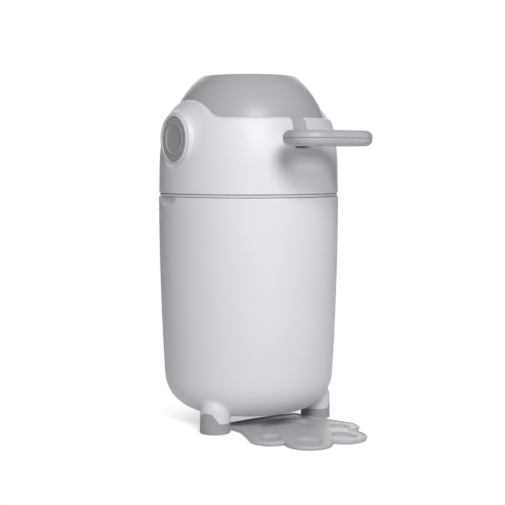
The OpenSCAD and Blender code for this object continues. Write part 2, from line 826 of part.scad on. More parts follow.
module pivot_cap(side) on_axis() color(dark_grey) on_pivot(side) rotate_extrude() {
    plate = cap_face - dish_depth - cap_skin;
    polygon([[0, plate], [0, cap_face - dish_depth], [dish_r - 0.6, cap_face - dish_depth], [dish_r, cap_face - 0.4],
        [dish_r + 0.5, cap_face - 0.4], [dish_r + 1.3, cap_face - 1], [dish_r + 2.1, cap_face - 0.2],
        [cap_r - 2, cap_face], [cap_r - 0.6, cap_face - 0.4], [cap_r, cap_face - 1.3], [cap_r, axle_seat],
        [cap_r - cap_rim_t, axle_seat], [cap_r - cap_rim_t, plate]]);
}

module pivot_bush(side) on_axis() color(rubber) on_pivot(side) difference() {
    union() {
        translate([0, 0, hub_root + hub_end]) cylinder(r = bush_out, h = hub_face - hub_root);
        translate([0, 0, hub_face]) cylinder(r = bush_out + 0.9, h = thrust_t);
    }
    translate([0, 0, hub_root]) cylinder(r = axle_r + run_fit, h = drum_r);
}

// ---- drum ----

// Half of the drum's wall, mouth upwards, with its lip and the collar that centres the chamber tube.
module drum_half_wall() {
    top_angle = asin((drum_half - 0.8) / drum_r);
    inner_top = drum_half - drum_wall;
    inner_angle = asin(inner_top / (drum_r - drum_wall));
    rotate_extrude() polygon(concat(arc([0, 0], drum_r, 0, top_angle, 14),
        [[mouth_r - 0.7, drum_half], [lip_r + 3, drum_half], [lip_r + 0.6, drum_half - 1.6], [lip_r, drum_half - 3.4],
            [lip_r, tube_half], [tube_out, tube_half], [tube_out, tube_half - tube_collar_h],
            [tube_out + tube_collar_t, tube_half - tube_collar_h], [tube_out + tube_collar_t, inner_top]],
        arc([0, 0], drum_r - drum_wall, inner_angle, 0, 12)));
}

module hub_half() {
    rotate([0, 90, 0]) translate([0, 0, hub_root]) cylinder(r = hub_r, h = hub_face - hub_root);
}

module hub_bore() {
    rotate([0, 90, 0]) translate([0, 0, hub_root + hub_end]) cylinder(r = bush_out, h = drum_r);
    rotate([0, 90, 0]) translate([0, 0, hub_root - over]) cylinder(r = axle_r + 1, h = drum_r);
}

module lug() {
    rotate([0, 90, 0]) rotate([0, 0, -90 - lug_sweep]) translate([0, 0, drum_r - lug_root])
        rotate_extrude(angle = lug_sweep) translate([stop_in + seat_gap, 0])
            square([stop_out - stop_in - 2 * seat_gap, stop_face + 1.8 - drum_r + lug_root]);
}

module upper_half_space() {
    translate([-2 * drum_r, -2 * drum_r, 0]) cube([4 * drum_r, 4 * drum_r, 2 * drum_r]);
}

// Both shells have this form; the lugs stand on the upper one, the lap and the tongue on the lower one.
module drum_shell_form() {
    difference() {
        union() {
            drum_half_wall();
            intersection() {
                for (s = [0, 1]) mirror([s, 0, 0]) hub_half();
                upper_half_space();
            }
        }
        for (s = [0, 1]) mirror([s, 0, 0]) hub_bore();
    }
}

module tongue(ease) {
    translate([-tongue_w / 2 - ease, -tongue_end, -tongue_h / 2 - ease])
        cube([tongue_w + 2 * ease, tongue_end - drum_r + 12, tongue_h + 2 * ease]);
}

module at_pivot() {
    translate([0, axis_y, pivot_z]) children();
}

module drum_upper_shell() at_pivot() color(grey) {
    difference() {
        drum_shell_form();
        tongue(seat_gap);
    }
    for (s = [0, 1]) mirror([s, 0, 0]) lug();
}

// The lower shell's ring that stands up inside the upper one.
module lap_ring() {
    inner = drum_r - drum_wall;
    lap_out = ball_at(pivot_z + lap_h, -drum_wall) - seat_gap;
    difference() {
        rotate_extrude() polygon([[inner - lap_t, -lap_root], [inner + 0.5, -lap_root], [inner + 0.5, 0],
            [lap_out, 0], [lap_out, lap_h], [inner - lap_t, lap_h]]);
        for (s = [0, 1]) mirror([s, 0, 0]) rotate([0, 90, 0]) translate([0, 0, hub_root - hub_r])
            cylinder(r = hub_r + seat_gap, h = drum_r);
    }
}

module drum_lower_shell() at_pivot() color(grey) difference() {
    union() {
        mirror([0, 0, 1]) drum_shell_form();
        lap_ring();
        tongue(0);
    }
    for (y = stem_screws) translate([0, -y, -tongue_h]) cylinder(r = pilot_r, h = tongue_h + 3);
}

module chamber_tube() at_pivot() color(white) difference() {
    cylinder(r = tube_out, h = 2 * tube_half, center = true);
    cylinder(r = chamber_r, h = 2 * drum_r, center = true);
}

// ---- handle ----

// Upper half of a bar's section, w wide and h high, drawn in by inset and rounded.
function half_bar(w, h, r, inset, low) = concat(
    [[w / 2 - inset - (inset > 0 ? 0 : parting), low], [w / 2 - inset, inset > 0 ? 0 : parting]],
    arc([w / 2 - r, h / 2 - r], r - inset, 0, 90, 6), arc([-w / 2 + r, h / 2 - r], r - inset, 90, 180, 6),
    [[-w / 2 + inset, inset > 0 ? 0 : parting], [-w / 2 + inset + (inset > 0 ? 0 : parting), low]]);

// Sweeps a section round the loop; the section's +X points outwards.
module loop() {
    for (k = [0:3]) {
        half_a = (k % 2 == 0 ? loop_w : loop_d) / 2;
        half_b = (k % 2 == 0 ? loop_d : loop_w) / 2;
        rotate([0, 0, 90 * k]) {
            translate([half_a - loop_r, -half_b, 0]) rotate([90, 0, -90])
                linear_extrude(2 * (half_a - loop_r)) children();
            translate([half_a - loop_r, -half_b + loop_r, 0]) rotate([0, 0, -90])
                rotate_extrude(angle = 90) translate([loop_r, 0]) children();
        }
    }
}

module stem(y0, y1) {
    translate([0, -y0, 0]) rotate([90, 0, 0]) linear_extrude(y1 - y0) children();
}

module handle_posts(r, h) {
    for (s = [-1, 1]) translate([s * loop_screw_x, -loop_screw_y, 0]) cylinder(r = r, h = h);
}

// One half of the handle, as the upper shell; the lower one is its mirror image with holes for the screws.
module handle_half() {
    difference() {
        union() {
            translate([0, -handle_mid, 0]) loop() polygon(half_bar(bar_w, bar_h, bar_round, 0, 0));
            stem(stem_near, handle_near + bar_w / 2) polygon(half_bar(stem_w, stem_h, bar_round - 2, 0, 0));
        }
        difference() {
            translate([0, -handle_mid, 0]) loop() polygon(half_bar(bar_w, bar_h, bar_round, handle_wall, -1));
            handle_posts(post_r, bar_h);
        }
        stem(stem_near - 1, handle_near + bar_w / 2)
            polygon([[tongue_w / 2 + seat_gap, -1], [tongue_w / 2 + seat_gap, tongue_h / 2 + seat_gap],
                [-tongue_w / 2 - seat_gap, tongue_h / 2 + seat_gap], [-tongue_w / 2 - seat_gap, -1]]);
    }
}

module handle_upper_shell() at_pivot() color(grey) difference() {
    handle_half();
    translate([0, 0, -1]) handle_posts(pilot_r, bar_h / 2 - 1);
}

module screw_seat(depth) {
    translate([0, 0, -bar_h]) cylinder(r = screw_head_r + seat_gap, h = bar_h - depth);
    translate([0, 0, -bar_h]) cylinder(r = screw_clear_r, h = bar_h + 2);
}

module handle_lower_shell() at_pivot() color(grey) difference() {
    union() {
        mirror([0, 0, 1]) handle_half();
        translate([0, -stem_screws[1], -bar_h / 2 + handle_wall / 2])
            cylinder(r = post_r, h = (bar_h - handle_wall - tongue_h) / 2 - seat_gap);
    }
    translate([0, -stem_screws[0], 0]) screw_seat(stem_h / 2 - screw_head_h);
    translate([0, -stem_screws[1], 0]) screw_seat(bar_h / 2 - screw_head_h);
    for (s = [-1, 1]) translate([s * loop_screw_x, -loop_screw_y, 0]) screw_seat(bar_h / 2 - screw_head_h);
}

module handle_screws() at_pivot() color(steel) {
    translate([0, -stem_screws[0], -stem_h / 2]) screw(stem_screw_l);
    translate([0, -stem_screws[1], -bar_h / 2]) screw(root_screw_l);
    for (s = [-1, 1]) translate([s * loop_screw_x, -loop_screw_y, -bar_h / 2]) screw(loop_screw_l);
}

// ---- piston ----

module piston_disc() {
    mid = piston_h / 2;
    floor_z = mid - piston_dish;
    edge = piston_r - piston_face_rim;
    rotate_extrude() polygon([[0, floor_z], [edge - 1 - piston_slope, floor_z], [edge - 1, mid - 0.6], [edge, mid],
        [piston_r - 1, mid], [piston_r, mid - 1], [piston_r, wiper_h / 2], [piston_r - piston_rib, wiper_h / 2],
        [piston_r - piston_rib, mid - disc_t], [edge + 0.5, mid - disc_t],
        [edge + 0.5 - piston_slope, floor_z - disc_t], [2 * piston_rib, floor_z - disc_t], [2 * piston_rib, 0],
        [piston_rib, 0], [piston_rib, floor_z - disc_t], [0, floor_z - disc_t]]);
}

module at_piston() {
    translate([0, 0, piston_low + piston_h / 2]) children();
}

module piston_upper_disc() at_pivot() color(grey) at_piston() piston_disc();

module piston_lower_disc() at_pivot() color(grey) at_piston() mirror([0, 0, 1]) piston_disc();

module piston_wiper() at_pivot() color(rubber) at_piston() rotate_extrude() {
    lip = chamber_r - 0.3;
    polygon([[piston_r - 5, -wiper_h / 2], [piston_r - 0.5, -wiper_h / 2], [lip, -1], [lip, 1],
        [piston_r - 0.5, wiper_h / 2], [piston_r - 5, wiper_h / 2]]);
}

body_shell();
foot_cap_node(0);  // front_left_foot_cap
foot_cap_node(1);  // front_right_foot_cap
foot_cap_node(2);  // rear_foot_cap
foot_pads();
foot_screws();
foot_plate();
plate_pads();
bag_ring();
head_shell();
head_base();
head_base_screws();
drum_seal();
pivot_axle(-1);  // pivot_axle_left
pivot_axle(1);  // pivot_axle_right
pivot_screws();
pivot_cap(-1);  // pivot_cap_left
pivot_cap(1);  // pivot_cap_right
drum_upper_shell();
drum_lower_shell();
chamber_tube();
pivot_bush(-1);  // pivot_bush_left
pivot_bush(1);  // pivot_bush_right
handle_upper_shell();
handle_lower_shell();
handle_screws();
piston_upper_disc();
piston_lower_disc();
piston_wiper();
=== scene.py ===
"""Looks of a nappy bin with a flip-over drum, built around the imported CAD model."""

import json
import logging
import math
from collections.abc import Callable, Sequence
from dataclasses import dataclass
from enum import Enum

import bpy
import numpy as np
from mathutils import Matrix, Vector

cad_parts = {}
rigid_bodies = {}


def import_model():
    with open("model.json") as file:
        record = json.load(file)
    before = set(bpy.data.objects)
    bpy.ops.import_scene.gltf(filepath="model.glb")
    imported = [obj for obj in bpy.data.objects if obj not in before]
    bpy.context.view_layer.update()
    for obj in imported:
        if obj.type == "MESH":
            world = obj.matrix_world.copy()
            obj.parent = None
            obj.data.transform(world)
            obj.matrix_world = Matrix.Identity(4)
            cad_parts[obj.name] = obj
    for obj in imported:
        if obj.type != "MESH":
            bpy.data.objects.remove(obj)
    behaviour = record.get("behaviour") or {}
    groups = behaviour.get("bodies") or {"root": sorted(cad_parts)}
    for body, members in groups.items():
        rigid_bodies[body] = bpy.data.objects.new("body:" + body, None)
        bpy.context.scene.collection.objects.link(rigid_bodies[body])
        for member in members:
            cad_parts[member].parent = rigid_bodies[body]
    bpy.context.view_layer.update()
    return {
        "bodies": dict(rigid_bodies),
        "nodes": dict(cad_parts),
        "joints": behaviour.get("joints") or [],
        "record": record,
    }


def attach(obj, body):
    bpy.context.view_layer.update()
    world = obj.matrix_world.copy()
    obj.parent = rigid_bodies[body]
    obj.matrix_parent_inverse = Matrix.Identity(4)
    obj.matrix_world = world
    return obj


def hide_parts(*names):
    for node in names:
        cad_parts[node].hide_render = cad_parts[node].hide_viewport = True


log = logging.getLogger("nappy_bin")

MM = 0.001
FULL_TURN = 2 * math.pi
# The share of a straight side that the rounding of one of its corners may take.
SIDE_SHARE = 0.48
# Number of angles at which the columns of a full turn are weighed.
WEIGHED_ANGLES = 4001

Array = np.ndarray
Mesh = bpy.types.Object
Point = tuple[float, float]
Rows = list[tuple[Array, Array]]
Colour = tuple[float, float, float, float]


def linear(hex_colour: str) -> Colour:
    """Turn an sRGB hex colour into linear light.

    Args:
        hex_colour: six hex digits, with or without a leading hash.

    Returns:
        Red, green, blue and alpha, linear, from 0 to 1.
    """
    digits = hex_colour.lstrip("#")
    values = [int(digits[i:i + 2], 16) / 255 for i in (0, 2, 4)]
    red, green, blue = [v / 12.92 if v <= 0.04045 else ((v + 0.055) / 1.055) ** 2.4 for v in values]
    return (red, green, blue, 1.0)


def add_node(tree: bpy.types.NodeTree, kind: str, links: dict[str, object] | None = None,
             inputs: dict[str, object] | None = None, **settings: object) -> bpy.types.Node:
    """Add a shader node with its settings, input values and incoming links.

    Args:
        tree: the node tree that gets the node.
        kind: the node's class name without the leading "ShaderNode".
        links: input name or index to the output socket that feeds it.
        inputs: input name or index to a constant value.
        settings: properties of the node itself.

    Returns:
        The new node.
    """
    node = tree.nodes.new("ShaderNode" + kind)
    for name, value in settings.items():
        setattr(node, name, value)
    for name, value in (inputs or {}).items():
        node.inputs[name].default_value = value
    for name, output in (links or {}).items():
        tree.links.new(output, node.inputs[name])
    return node


def empty_tree(owner: bpy.types.Material | bpy.types.World) -> bpy.types.NodeTree:
    """Switch on the nodes of a material or a world, clear them and return their tree.

    Args:
        owner: the material or the world.
    """
    owner.use_nodes = True
    owner.node_tree.nodes.clear()
    return owner.node_tree


class Texture(Enum):
    """How a surface was made, which decides its fine relief."""

    POLISHED = "polished steel mould"
    SATIN = "lightly blasted mould"
    GRAINED = "spark-eroded mould"
    CAST = "soft rubber, as moulded"
    PLATED = "zinc plating on turned steel"


# Size of the relief's bumps in millimetres, and their height in millimetres.
RELIEF = {
    Texture.POLISHED: (9.0, 0.012),
    Texture.SATIN: (0.7, 0.006),
    Texture.GRAINED: (0.9, 0.016),
    Texture.CAST: (1.2, 0.03),
    Texture.PLATED: (0.5, 0.01),
}

# Size of the soft patches in which colour and roughness drift, and the noise values between which they do.
PATCH = 60 * MM
PATCH_SPAN = (0.3, 0.7)
# How far the roughness drifts from its middle, and the refraction of all that isn't metal.
ROUGHNESS_DRIFT = 0.05
PLASTIC_IOR = 1.49


@dataclass(frozen=True)
class Finish:
    """A moulded or plated finish, from which one material is made.

    Attributes:
        name: the real material's common name.
        colour: sRGB hex of the surface in plain light.
        shade: sRGB hex that the colour drifts to in large soft patches.
        roughness: middle roughness.
        texture: how the surface was made.
        metal: whether the surface is bare metal.
    """

    name: str
    colour: str
    shade: str
    roughness: float
    texture: Texture
    metal: bool = False

    def material(self) -> bpy.types.Material:
        """Return this finish's material, made at its first use."""
        made = bpy.data.materials.get(self.name)
        return made if made else self._make()

    def _make(self) -> bpy.types.Material:
        """Build the node tree: drifting colour and roughness, and one fine relief.

        Returns:
            The new material.
        """
        material = bpy.data.materials.new(self.name)
        tree = empty_tree(material)
        size, height = RELIEF[self.texture]
        place = add_node(tree, "TexCoord").outputs["Object"]
        patches = add_node(tree, "TexNoise", {"Vector": place},
                           {"Scale": 1 / PATCH, "Detail": 3.0, "Roughness": 0.5}).outputs["Fac"]
        drift = add_node(tree, "Mix", {"Factor": patches}, {6: linear(self.colour), 7: linear(self.shade)},
                         data_type="RGBA")
        sheen = add_node(tree, "MapRange", {"Value": patches},
                         {"From Min": PATCH_SPAN[0], "From Max": PATCH_SPAN[1],
                          "To Min": self.roughness - ROUGHNESS_DRIFT,
                          "To Max": self.roughness + ROUGHNESS_DRIFT})
        grain = add_node(tree, "TexNoise", {"Vector": place},
                         {"Scale": 1 / (size * MM), "Detail": 4.0, "Roughness": 0.55})
        relief = add_node(tree, "Bump", {"Height": grain.outputs["Fac"]},
                          {"Strength": 1.0, "Distance": height * MM})
        values = {"Metallic": 1.0} if self.metal else {"Metallic": 0.0, "IOR": PLASTIC_IOR}
        shader = add_node(tree, "BsdfPrincipled",
                          {"Base Color": drift.outputs[2], "Roughness": sheen.outputs["Result"],
                           "Normal": relief.outputs["Normal"]}, values)
        add_node(tree, "OutputMaterial", {"Surface": shader.outputs["BSDF"]})
        return material


# Glossy ABS from a polished mould: a cool white with a broad soft highlight.
WHITE_ABS = Finish("white_abs_polished", "#e9e6ed", "#e4e1e9", 0.46, Texture.POLISHED)
# The same ABS in grey, from a lightly blasted mould: satin, with no sharp reflections.
GREY_ABS = Finish("grey_abs_satin", "#bcbbbf", "#b7b6bb", 0.38, Texture.SATIN)
# Darker ABS of the caps, blasted: nearly matt.
TRIM_ABS = Finish("mid_grey_abs_blasted", "#adacae", "#a8a7aa", 0.45, Texture.GRAINED)
# Polypropylene of the foot plate, with a fine spark-eroded grain against slipping.
PLATE_PP = Finish("light_grey_polypropylene_grained", "#c6c5c8", "#c1c0c3", 0.42, Texture.GRAINED)
# White polypropylene of inner parts, as moulded: flat and slightly waxy.
INNER_PP = Finish("white_polypropylene_as_moulded", "#dedde2", "#d8d7dc", 0.45, Texture.SATIN)
# Thermoplastic rubber of pads, seal and wiper: dark and matt.
SOFT_TPE = Finish("dark_tpe_rubber", "#3b3b3e", "#363639", 0.75, Texture.CAST)
# Zinc-plated steel of the screws: pale metal with a slight brushed look.
ZINC = Finish("zinc_plated_steel", "#c3c6ca", "#b4b8bd", 0.35, Texture.PLATED, metal=True)

# The finish of each of the record's slots.
SLOT_FINISH = {
    "body_white": WHITE_ABS,
    "drum_grey": GREY_ABS,
    "trim_grey": TRIM_ABS,
    "plate_grey": PLATE_PP,
    "inner_white": INNER_PP,
    "dark_rubber": SOFT_TPE,
    "zinc_screws": ZINC,
}


def dress_frame(frame: dict) -> None:
    """Give every node of the frame the finish of its slot.
    """
    for part in frame["record"]["subparts"]:
        node = frame["nodes"][part["node"]]
        node.data.materials.clear()
        node.data.materials.append(SLOT_FINISH[part["material_slot"]].material())
        log.info("dressed %s as %s", part["node"], part["material_slot"])


# ---- modelling ----

def clear_selection() -> None:
    """Leave edit mode and deselect everything."""
    if bpy.context.object and bpy.context.object.mode != "OBJECT":
        bpy.ops.object.mode_set(mode="OBJECT")
    bpy.ops.object.select_all(action="DESELECT")


def pick(piece: Mesh) -> None:
    """Select one object alone and make it active.

    Args:
        piece: the object to select.
    """
    clear_selection()
    piece.select_set(True)
    bpy.context.view_layer.objects.active = piece


def arc(centre: Point, radius: float, start: float, end: float, steps: int) -> list[Point]:
    """Return the points of an arc between two angles in degrees, both ends included."""
    angles = [math.radians(start + (end - start) * i / steps) for i in range(steps + 1)]
    return [(centre[0] + radius * math.cos(a), centre[1] + radius * math.sin(a)) for a in angles]


def bend(share: float, start: Array | Vector, corner: Array | Vector, end: Array | Vector) -> Array | Vector:
    """Return the point at a share of the short curve that rounds a corner."""
    return (1 - share) ** 2 * start + 2 * share * (1 - share) * corner + share * share * end


def rounded(points: Sequence[Point], radii: Sequence[float], steps: int = 4) -> list[Point]:
    """Round the corners of a line with short curves.

    Args:
        points: the line's corners.
        radii: how far before and after each corner its curve begins; 0 keeps it sharp.
        steps: number of chords in each curve.

    Returns:
        The line with its corners rounded.
    """
    line: list[Point] = []
    last = len(points) - 1
    for i, (corner, reach) in enumerate(zip(points, radii)):
        if reach == 0 or i in (0, last):
            line.append(corner)
            continue
        here = Vector(corner)
        start, end = (here + (there - here).normalized() * min(reach, SIDE_SHARE * (there - here).length)
                      for there in (Vector(points[i - 1]), Vector(points[i + 1])))
        line += [tuple(bend(k / steps, start, here, end)) for k in range(steps + 1)]
    return line


def start_line(name: str, points: Sequence[Sequence[float]]) -> Mesh:
    """Start a mesh as one line, and stay in edit mode with all of it selected.

    Args:
        name: the new object's name.
        points: the line's points, in metres.

    Returns:
        The new object.
    """
    clear_selection()
    bpy.ops.mesh.primitive_plane_add(size=1, location=(0, 0, 0))
    piece = bpy.context.object
    piece.name = name
    bpy.ops.object.mode_set(mode="EDIT")
    bpy.ops.mesh.select_all(action="SELECT")
    bpy.ops.mesh.merge(type="CENTER")
    bpy.ops.transform.translate(value=points[0])
    for before, after in zip(points, points[1:]):
        bpy.ops.mesh.extrude_vertices_move(
            TRANSFORM_OT_translate={"value": Vector(after) - Vector(before)})
    bpy.ops.mesh.select_all(action="SELECT")
    return piece


def end_mesh(merge: float = 0.0, outwards: bool = True) -> None:
    """Merge a mesh's doubles, turn its normals outwards and leave edit mode.

    Args:
        merge: how close doubles lie, in millimetres; 0 leaves them.
        outwards: whether the normals are turned.
    """
    bpy.ops.mesh.select_all(action="SELECT")
    if merge:
        bpy.ops.mesh.remove_doubles(threshold=merge * MM)
        bpy.ops.mesh.select_all(action="SELECT")
    if outwards:
        bpy.ops.mesh.normals_make_consistent(inside=False)
    bpy.ops.object.mode_set(mode="OBJECT")


def turn_outline(name: str, outline: Sequence[Point], centre: Sequence[float], along: str = "Z",
                 steps: int = 160, closed: bool = False) -> Mesh:
    """Turn an outline round an axis, as on a lathe.

    Args:
        name: the new object's name.
        outline: pairs of radius and place along the axis, in millimetres.
        centre: a point on the axis, in metres.
        along: "Z", "X" or "-X", the axis's direction.
        steps: number of segments round the axis.
        closed: whether the outline's last point joins its first.

    Returns:
        The new object.
    """
    side = -1.0 if along == "-X" else 1.0
    points = []
    for radius, reach in [*outline, *outline[:1]] if closed else outline:
        flat = (radius * MM, 0, reach * MM) if along == "Z" else (side * reach * MM, 0, radius * MM)
        points.append(Vector(centre) + Vector(flat))
    piece = start_line(name, points)
    bpy.ops.mesh.spin(steps=steps, angle=FULL_TURN, center=tuple(centre),
                      axis=(0, 0, 1) if along == "Z" else (1, 0, 0))
    end_mesh(merge=0.0005)
    return piece


def cut(piece: Mesh, tool: Mesh) -> None:
    """Cut one object with another, and remove the tool.

    Args:
        piece: the object that is kept.
        tool: the object that cuts it.
    """
    pick(piece)
    modifier = piece.modifiers.new("cut", "BOOLEAN")
    modifier.operation = "DIFFERENCE"
    modifier.solver = "EXACT"
    modifier.object = tool
    bpy.ops.object.modifier_apply(modifier=modifier.name)
    bpy.data.objects.remove(tool)


def drill(piece: Mesh, place: Sequence[float], radius: float, depth: float, vertices: int,
          level: bool = False) -> None:
    """Cut a round hole. Sizes in millimetres.

    Args:
        piece: the object to cut.
        place: the middle of the hole.
        radius: its radius.
        depth: its length.
        vertices: number of its sides.
        level: whether it runs along X instead of upright.
    """
    clear_selection()
    bpy.ops.mesh.primitive_cylinder_add(
        vertices=vertices, radius=radius * MM, depth=depth * MM, location=[v * MM for v in place],
        rotation=(0, math.pi / 2 if level else 0, 0))
    cut(piece, bpy.context.object)


def join(pieces: Sequence[Mesh], name: str) -> Mesh:
    """Join pieces into the first of them.

    Args:
        pieces: the objects to join.
        name: the joined object's name.

    Returns:
        The joined object.
    """
    pick(pieces[0])
    for piece in pieces[1:]:
        piece.select_set(True)
    bpy.ops.object.join()
    pieces[0].name = name
    return pieces[0]


def prism(name: str, outline: Sequence[Sequence[float]], push: Sequence[float]) -> Mesh:
    """Make a straight prism from an outline.

    Args:
        name: the new object's name.
        outline: the corners of its first face, in metres.
        push: from the first face to the second, in metres.

    Returns:
        The new object.
    """
    piece = start_line(name, outline)
    bpy.ops.mesh.edge_face_add()
    bpy.ops.mesh.select_all(action="SELECT")
    bpy.ops.mesh.extrude_region_move(TRANSFORM_OT_translate={"value": push})
    end_mesh()
    return piece


def sheet_of(name: str, columns: int, rows: int,
             shape: Callable[[Array, Array], Array]) -> Mesh:
    """Make a grid and lay it over a surface that is given by a formula.

    Args:
        name: the new object's name.
        columns: number of squares across.
        rows: number of squares up.
        shape: takes arrays of u and v, each from 0 to 1, and returns points in metres.

    Returns:
        The new object, its doubles merged and its normals outwards.
    """
    clear_selection()
    bpy.ops.mesh.primitive_grid_add(x_subdivisions=columns, y_subdivisions=rows, size=2)
    piece = bpy.context.object
    piece.name = name
    flat = np.empty(len(piece.data.vertices) * 3)
    piece.data.vertices.foreach_get("co", flat)
    flat = flat.reshape(-1, 3)
    points = shape((flat[:, 0] + 1) / 2, (flat[:, 1] + 1) / 2)
    piece.data.vertices.foreach_set("co", points.ravel())
    bpy.ops.object.mode_set(mode="EDIT")
    end_mesh(merge=0.002)
    return piece


def row_of(place: Array, count: int) -> Array:
    """Return the number of the grid line on which each place from 0 to 1 lies."""
    return np.rint(place * (count - 1)).astype(int)


def take_rows(rows: Rows, index: Array) -> Array:
    """Pick each point's radius and height from the row that its index names."""
    return np.array(rows)[index, :, np.arange(len(index))].T


def sheet_of_rows(name: str, columns: int, section: Callable[[Array], Rows],
                  turn_at: Callable[[Array], Array], place: Callable[[Array, Array, Array], Array]) -> Mesh:
    """Make a sheet whose section changes round an axis.

    Args:
        name: the new object's name.
        columns: number of squares round the axis.
        section: takes angles and returns the section's rows there.
        turn_at: takes places from 0 to 1 round the axis and returns their angles.
        place: takes angles, radii and heights and returns points in metres.

    Returns:
        The new object.
    """
    count = len(section(np.zeros(1)))

    def shape(u: Array, v: Array) -> Array:
        """Return points at places round the axis and along the section."""
        turn = turn_at(u)
        return place(turn, *take_rows(section(turn), row_of(v, count)))

    return sheet_of(name, columns, count - 1, shape)


def smooth(piece: Mesh, angle: float = 32) -> None:
    """Shade a piece smooth except over edges sharper than an angle in degrees."""
    pick(piece)
    bpy.ops.object.shade_smooth_by_angle(angle=math.radians(angle))


def weigh_normals(piece: Mesh) -> None:
    """Lean a piece's shading towards its larger faces, which hides the traces of cuts.

    Args:
        piece: the object, shaded smooth.
    """
    pick(piece)
    weighted = piece.modifiers.new("weighted", "WEIGHTED_NORMAL")
    weighted.keep_sharp = True
    bpy.ops.object.modifier_apply(modifier=weighted.name)


@dataclass(frozen=True)
class Place:
    """Where a finished piece belongs.

    Attributes:
        body: the CAD body that it moves with.
        slot: the record's material slot.
        stands_for: the CAD nodes that it replaces.
    """

    body: str
    slot: str
    stands_for: tuple[str, ...] = ()

    def settle(self, piece: Mesh) -> None:
        """Give a finished piece the finish of its slot, and its body.

        Args:
            piece: the finished object.
        """
        piece.data.materials.clear()
        piece.data.materials.append(SLOT_FINISH[self.slot].material())
        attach(piece, self.body)
        if self.stands_for:
            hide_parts(*self.stands_for)
        log.info("%s: %d faces on %s", piece.name, len(piece.data.polygons), self.body)


@dataclass(frozen=True)
class Axis:
    """The bin's own axes in the frame, in millimetres."""

    y: float = 45.5
    pivot_z: float = 413.0

    @property
    def foot(self) -> tuple[float, float, float]:
        """The point where the body's axis meets the floor, in metres."""
        return (0.0, self.y * MM, 0.0)

    @property
    def pivot(self) -> tuple[float, float, float]:
        """The middle of the drum, in metres."""
        return (0.0, self.y * MM, self.pivot_z * MM)


AXIS = Axis()


def bisect(low: Array, high: Array, past: Callable[[Array], Array], steps: int) -> tuple[Array, Array]:
    """Close in on the value at which a test turns true.

    Args:
        low: values at which it's false.
        high: values at which it's true.
        past: the test.
        steps: number of halvings.

    Returns:
        The last values at which it's false, and those at which it's true.
    """
    for _ in range(steps):
        middle = (low + high) / 2
        over = past(middle)
        low, high = np.where(over, low, middle), np.where(over, middle, high)
    return low, high


def turn_from(turn: Array, middle: float = 0.0) -> Array:
    """Return angles measured from a middle one, from minus half a turn to half a turn."""
    return (turn - middle + math.pi) % FULL_TURN - math.pi


def smooth_step(value: Array, low: float, high: float) -> Array:
    """Rise softly from 0 at low to 1 at high."""
    t = np.clip((value - low) / (high - low), 0, 1)
    return t * t * (3 - 2 * t)


def soft_union(a: Array, b: Array, reach: float) -> Array:
    """Join two distance fields, negative inside, with a fillet of the given reach."""
    share = np.clip(0.5 + 0.5 * (b - a) / reach, 0, 1)
    return b * (1 - share) + a * share - reach * share * (1 - share)


def spread_turns(share: Array, centres: Sequence[float], width: float, gain: float) -> Array:
    """Spread a full turn's columns so that they lie closer round some angles.

    Args:
        share: from 0 to 1, evenly spread.
        centres: the angles in radians, from 0 to a full turn.
        width: half of the dense zone's width in radians.
        gain: how many times closer the columns lie there.

    Returns:
        Angles in radians.
    """
    turns = np.linspace(0, FULL_TURN, WEIGHED_ANGLES)
    density = np.ones_like(turns)
    for centre in centres:
        density += (gain - 1) * np.exp(-(np.abs(turn_from(turns, centre)) / width) ** 4)
    total = np.concatenate([[0], np.cumsum((density[1:] + density[:-1]) / 2)])
    return np.interp(share, total / total[-1], turns)


# ---- body and feet ----

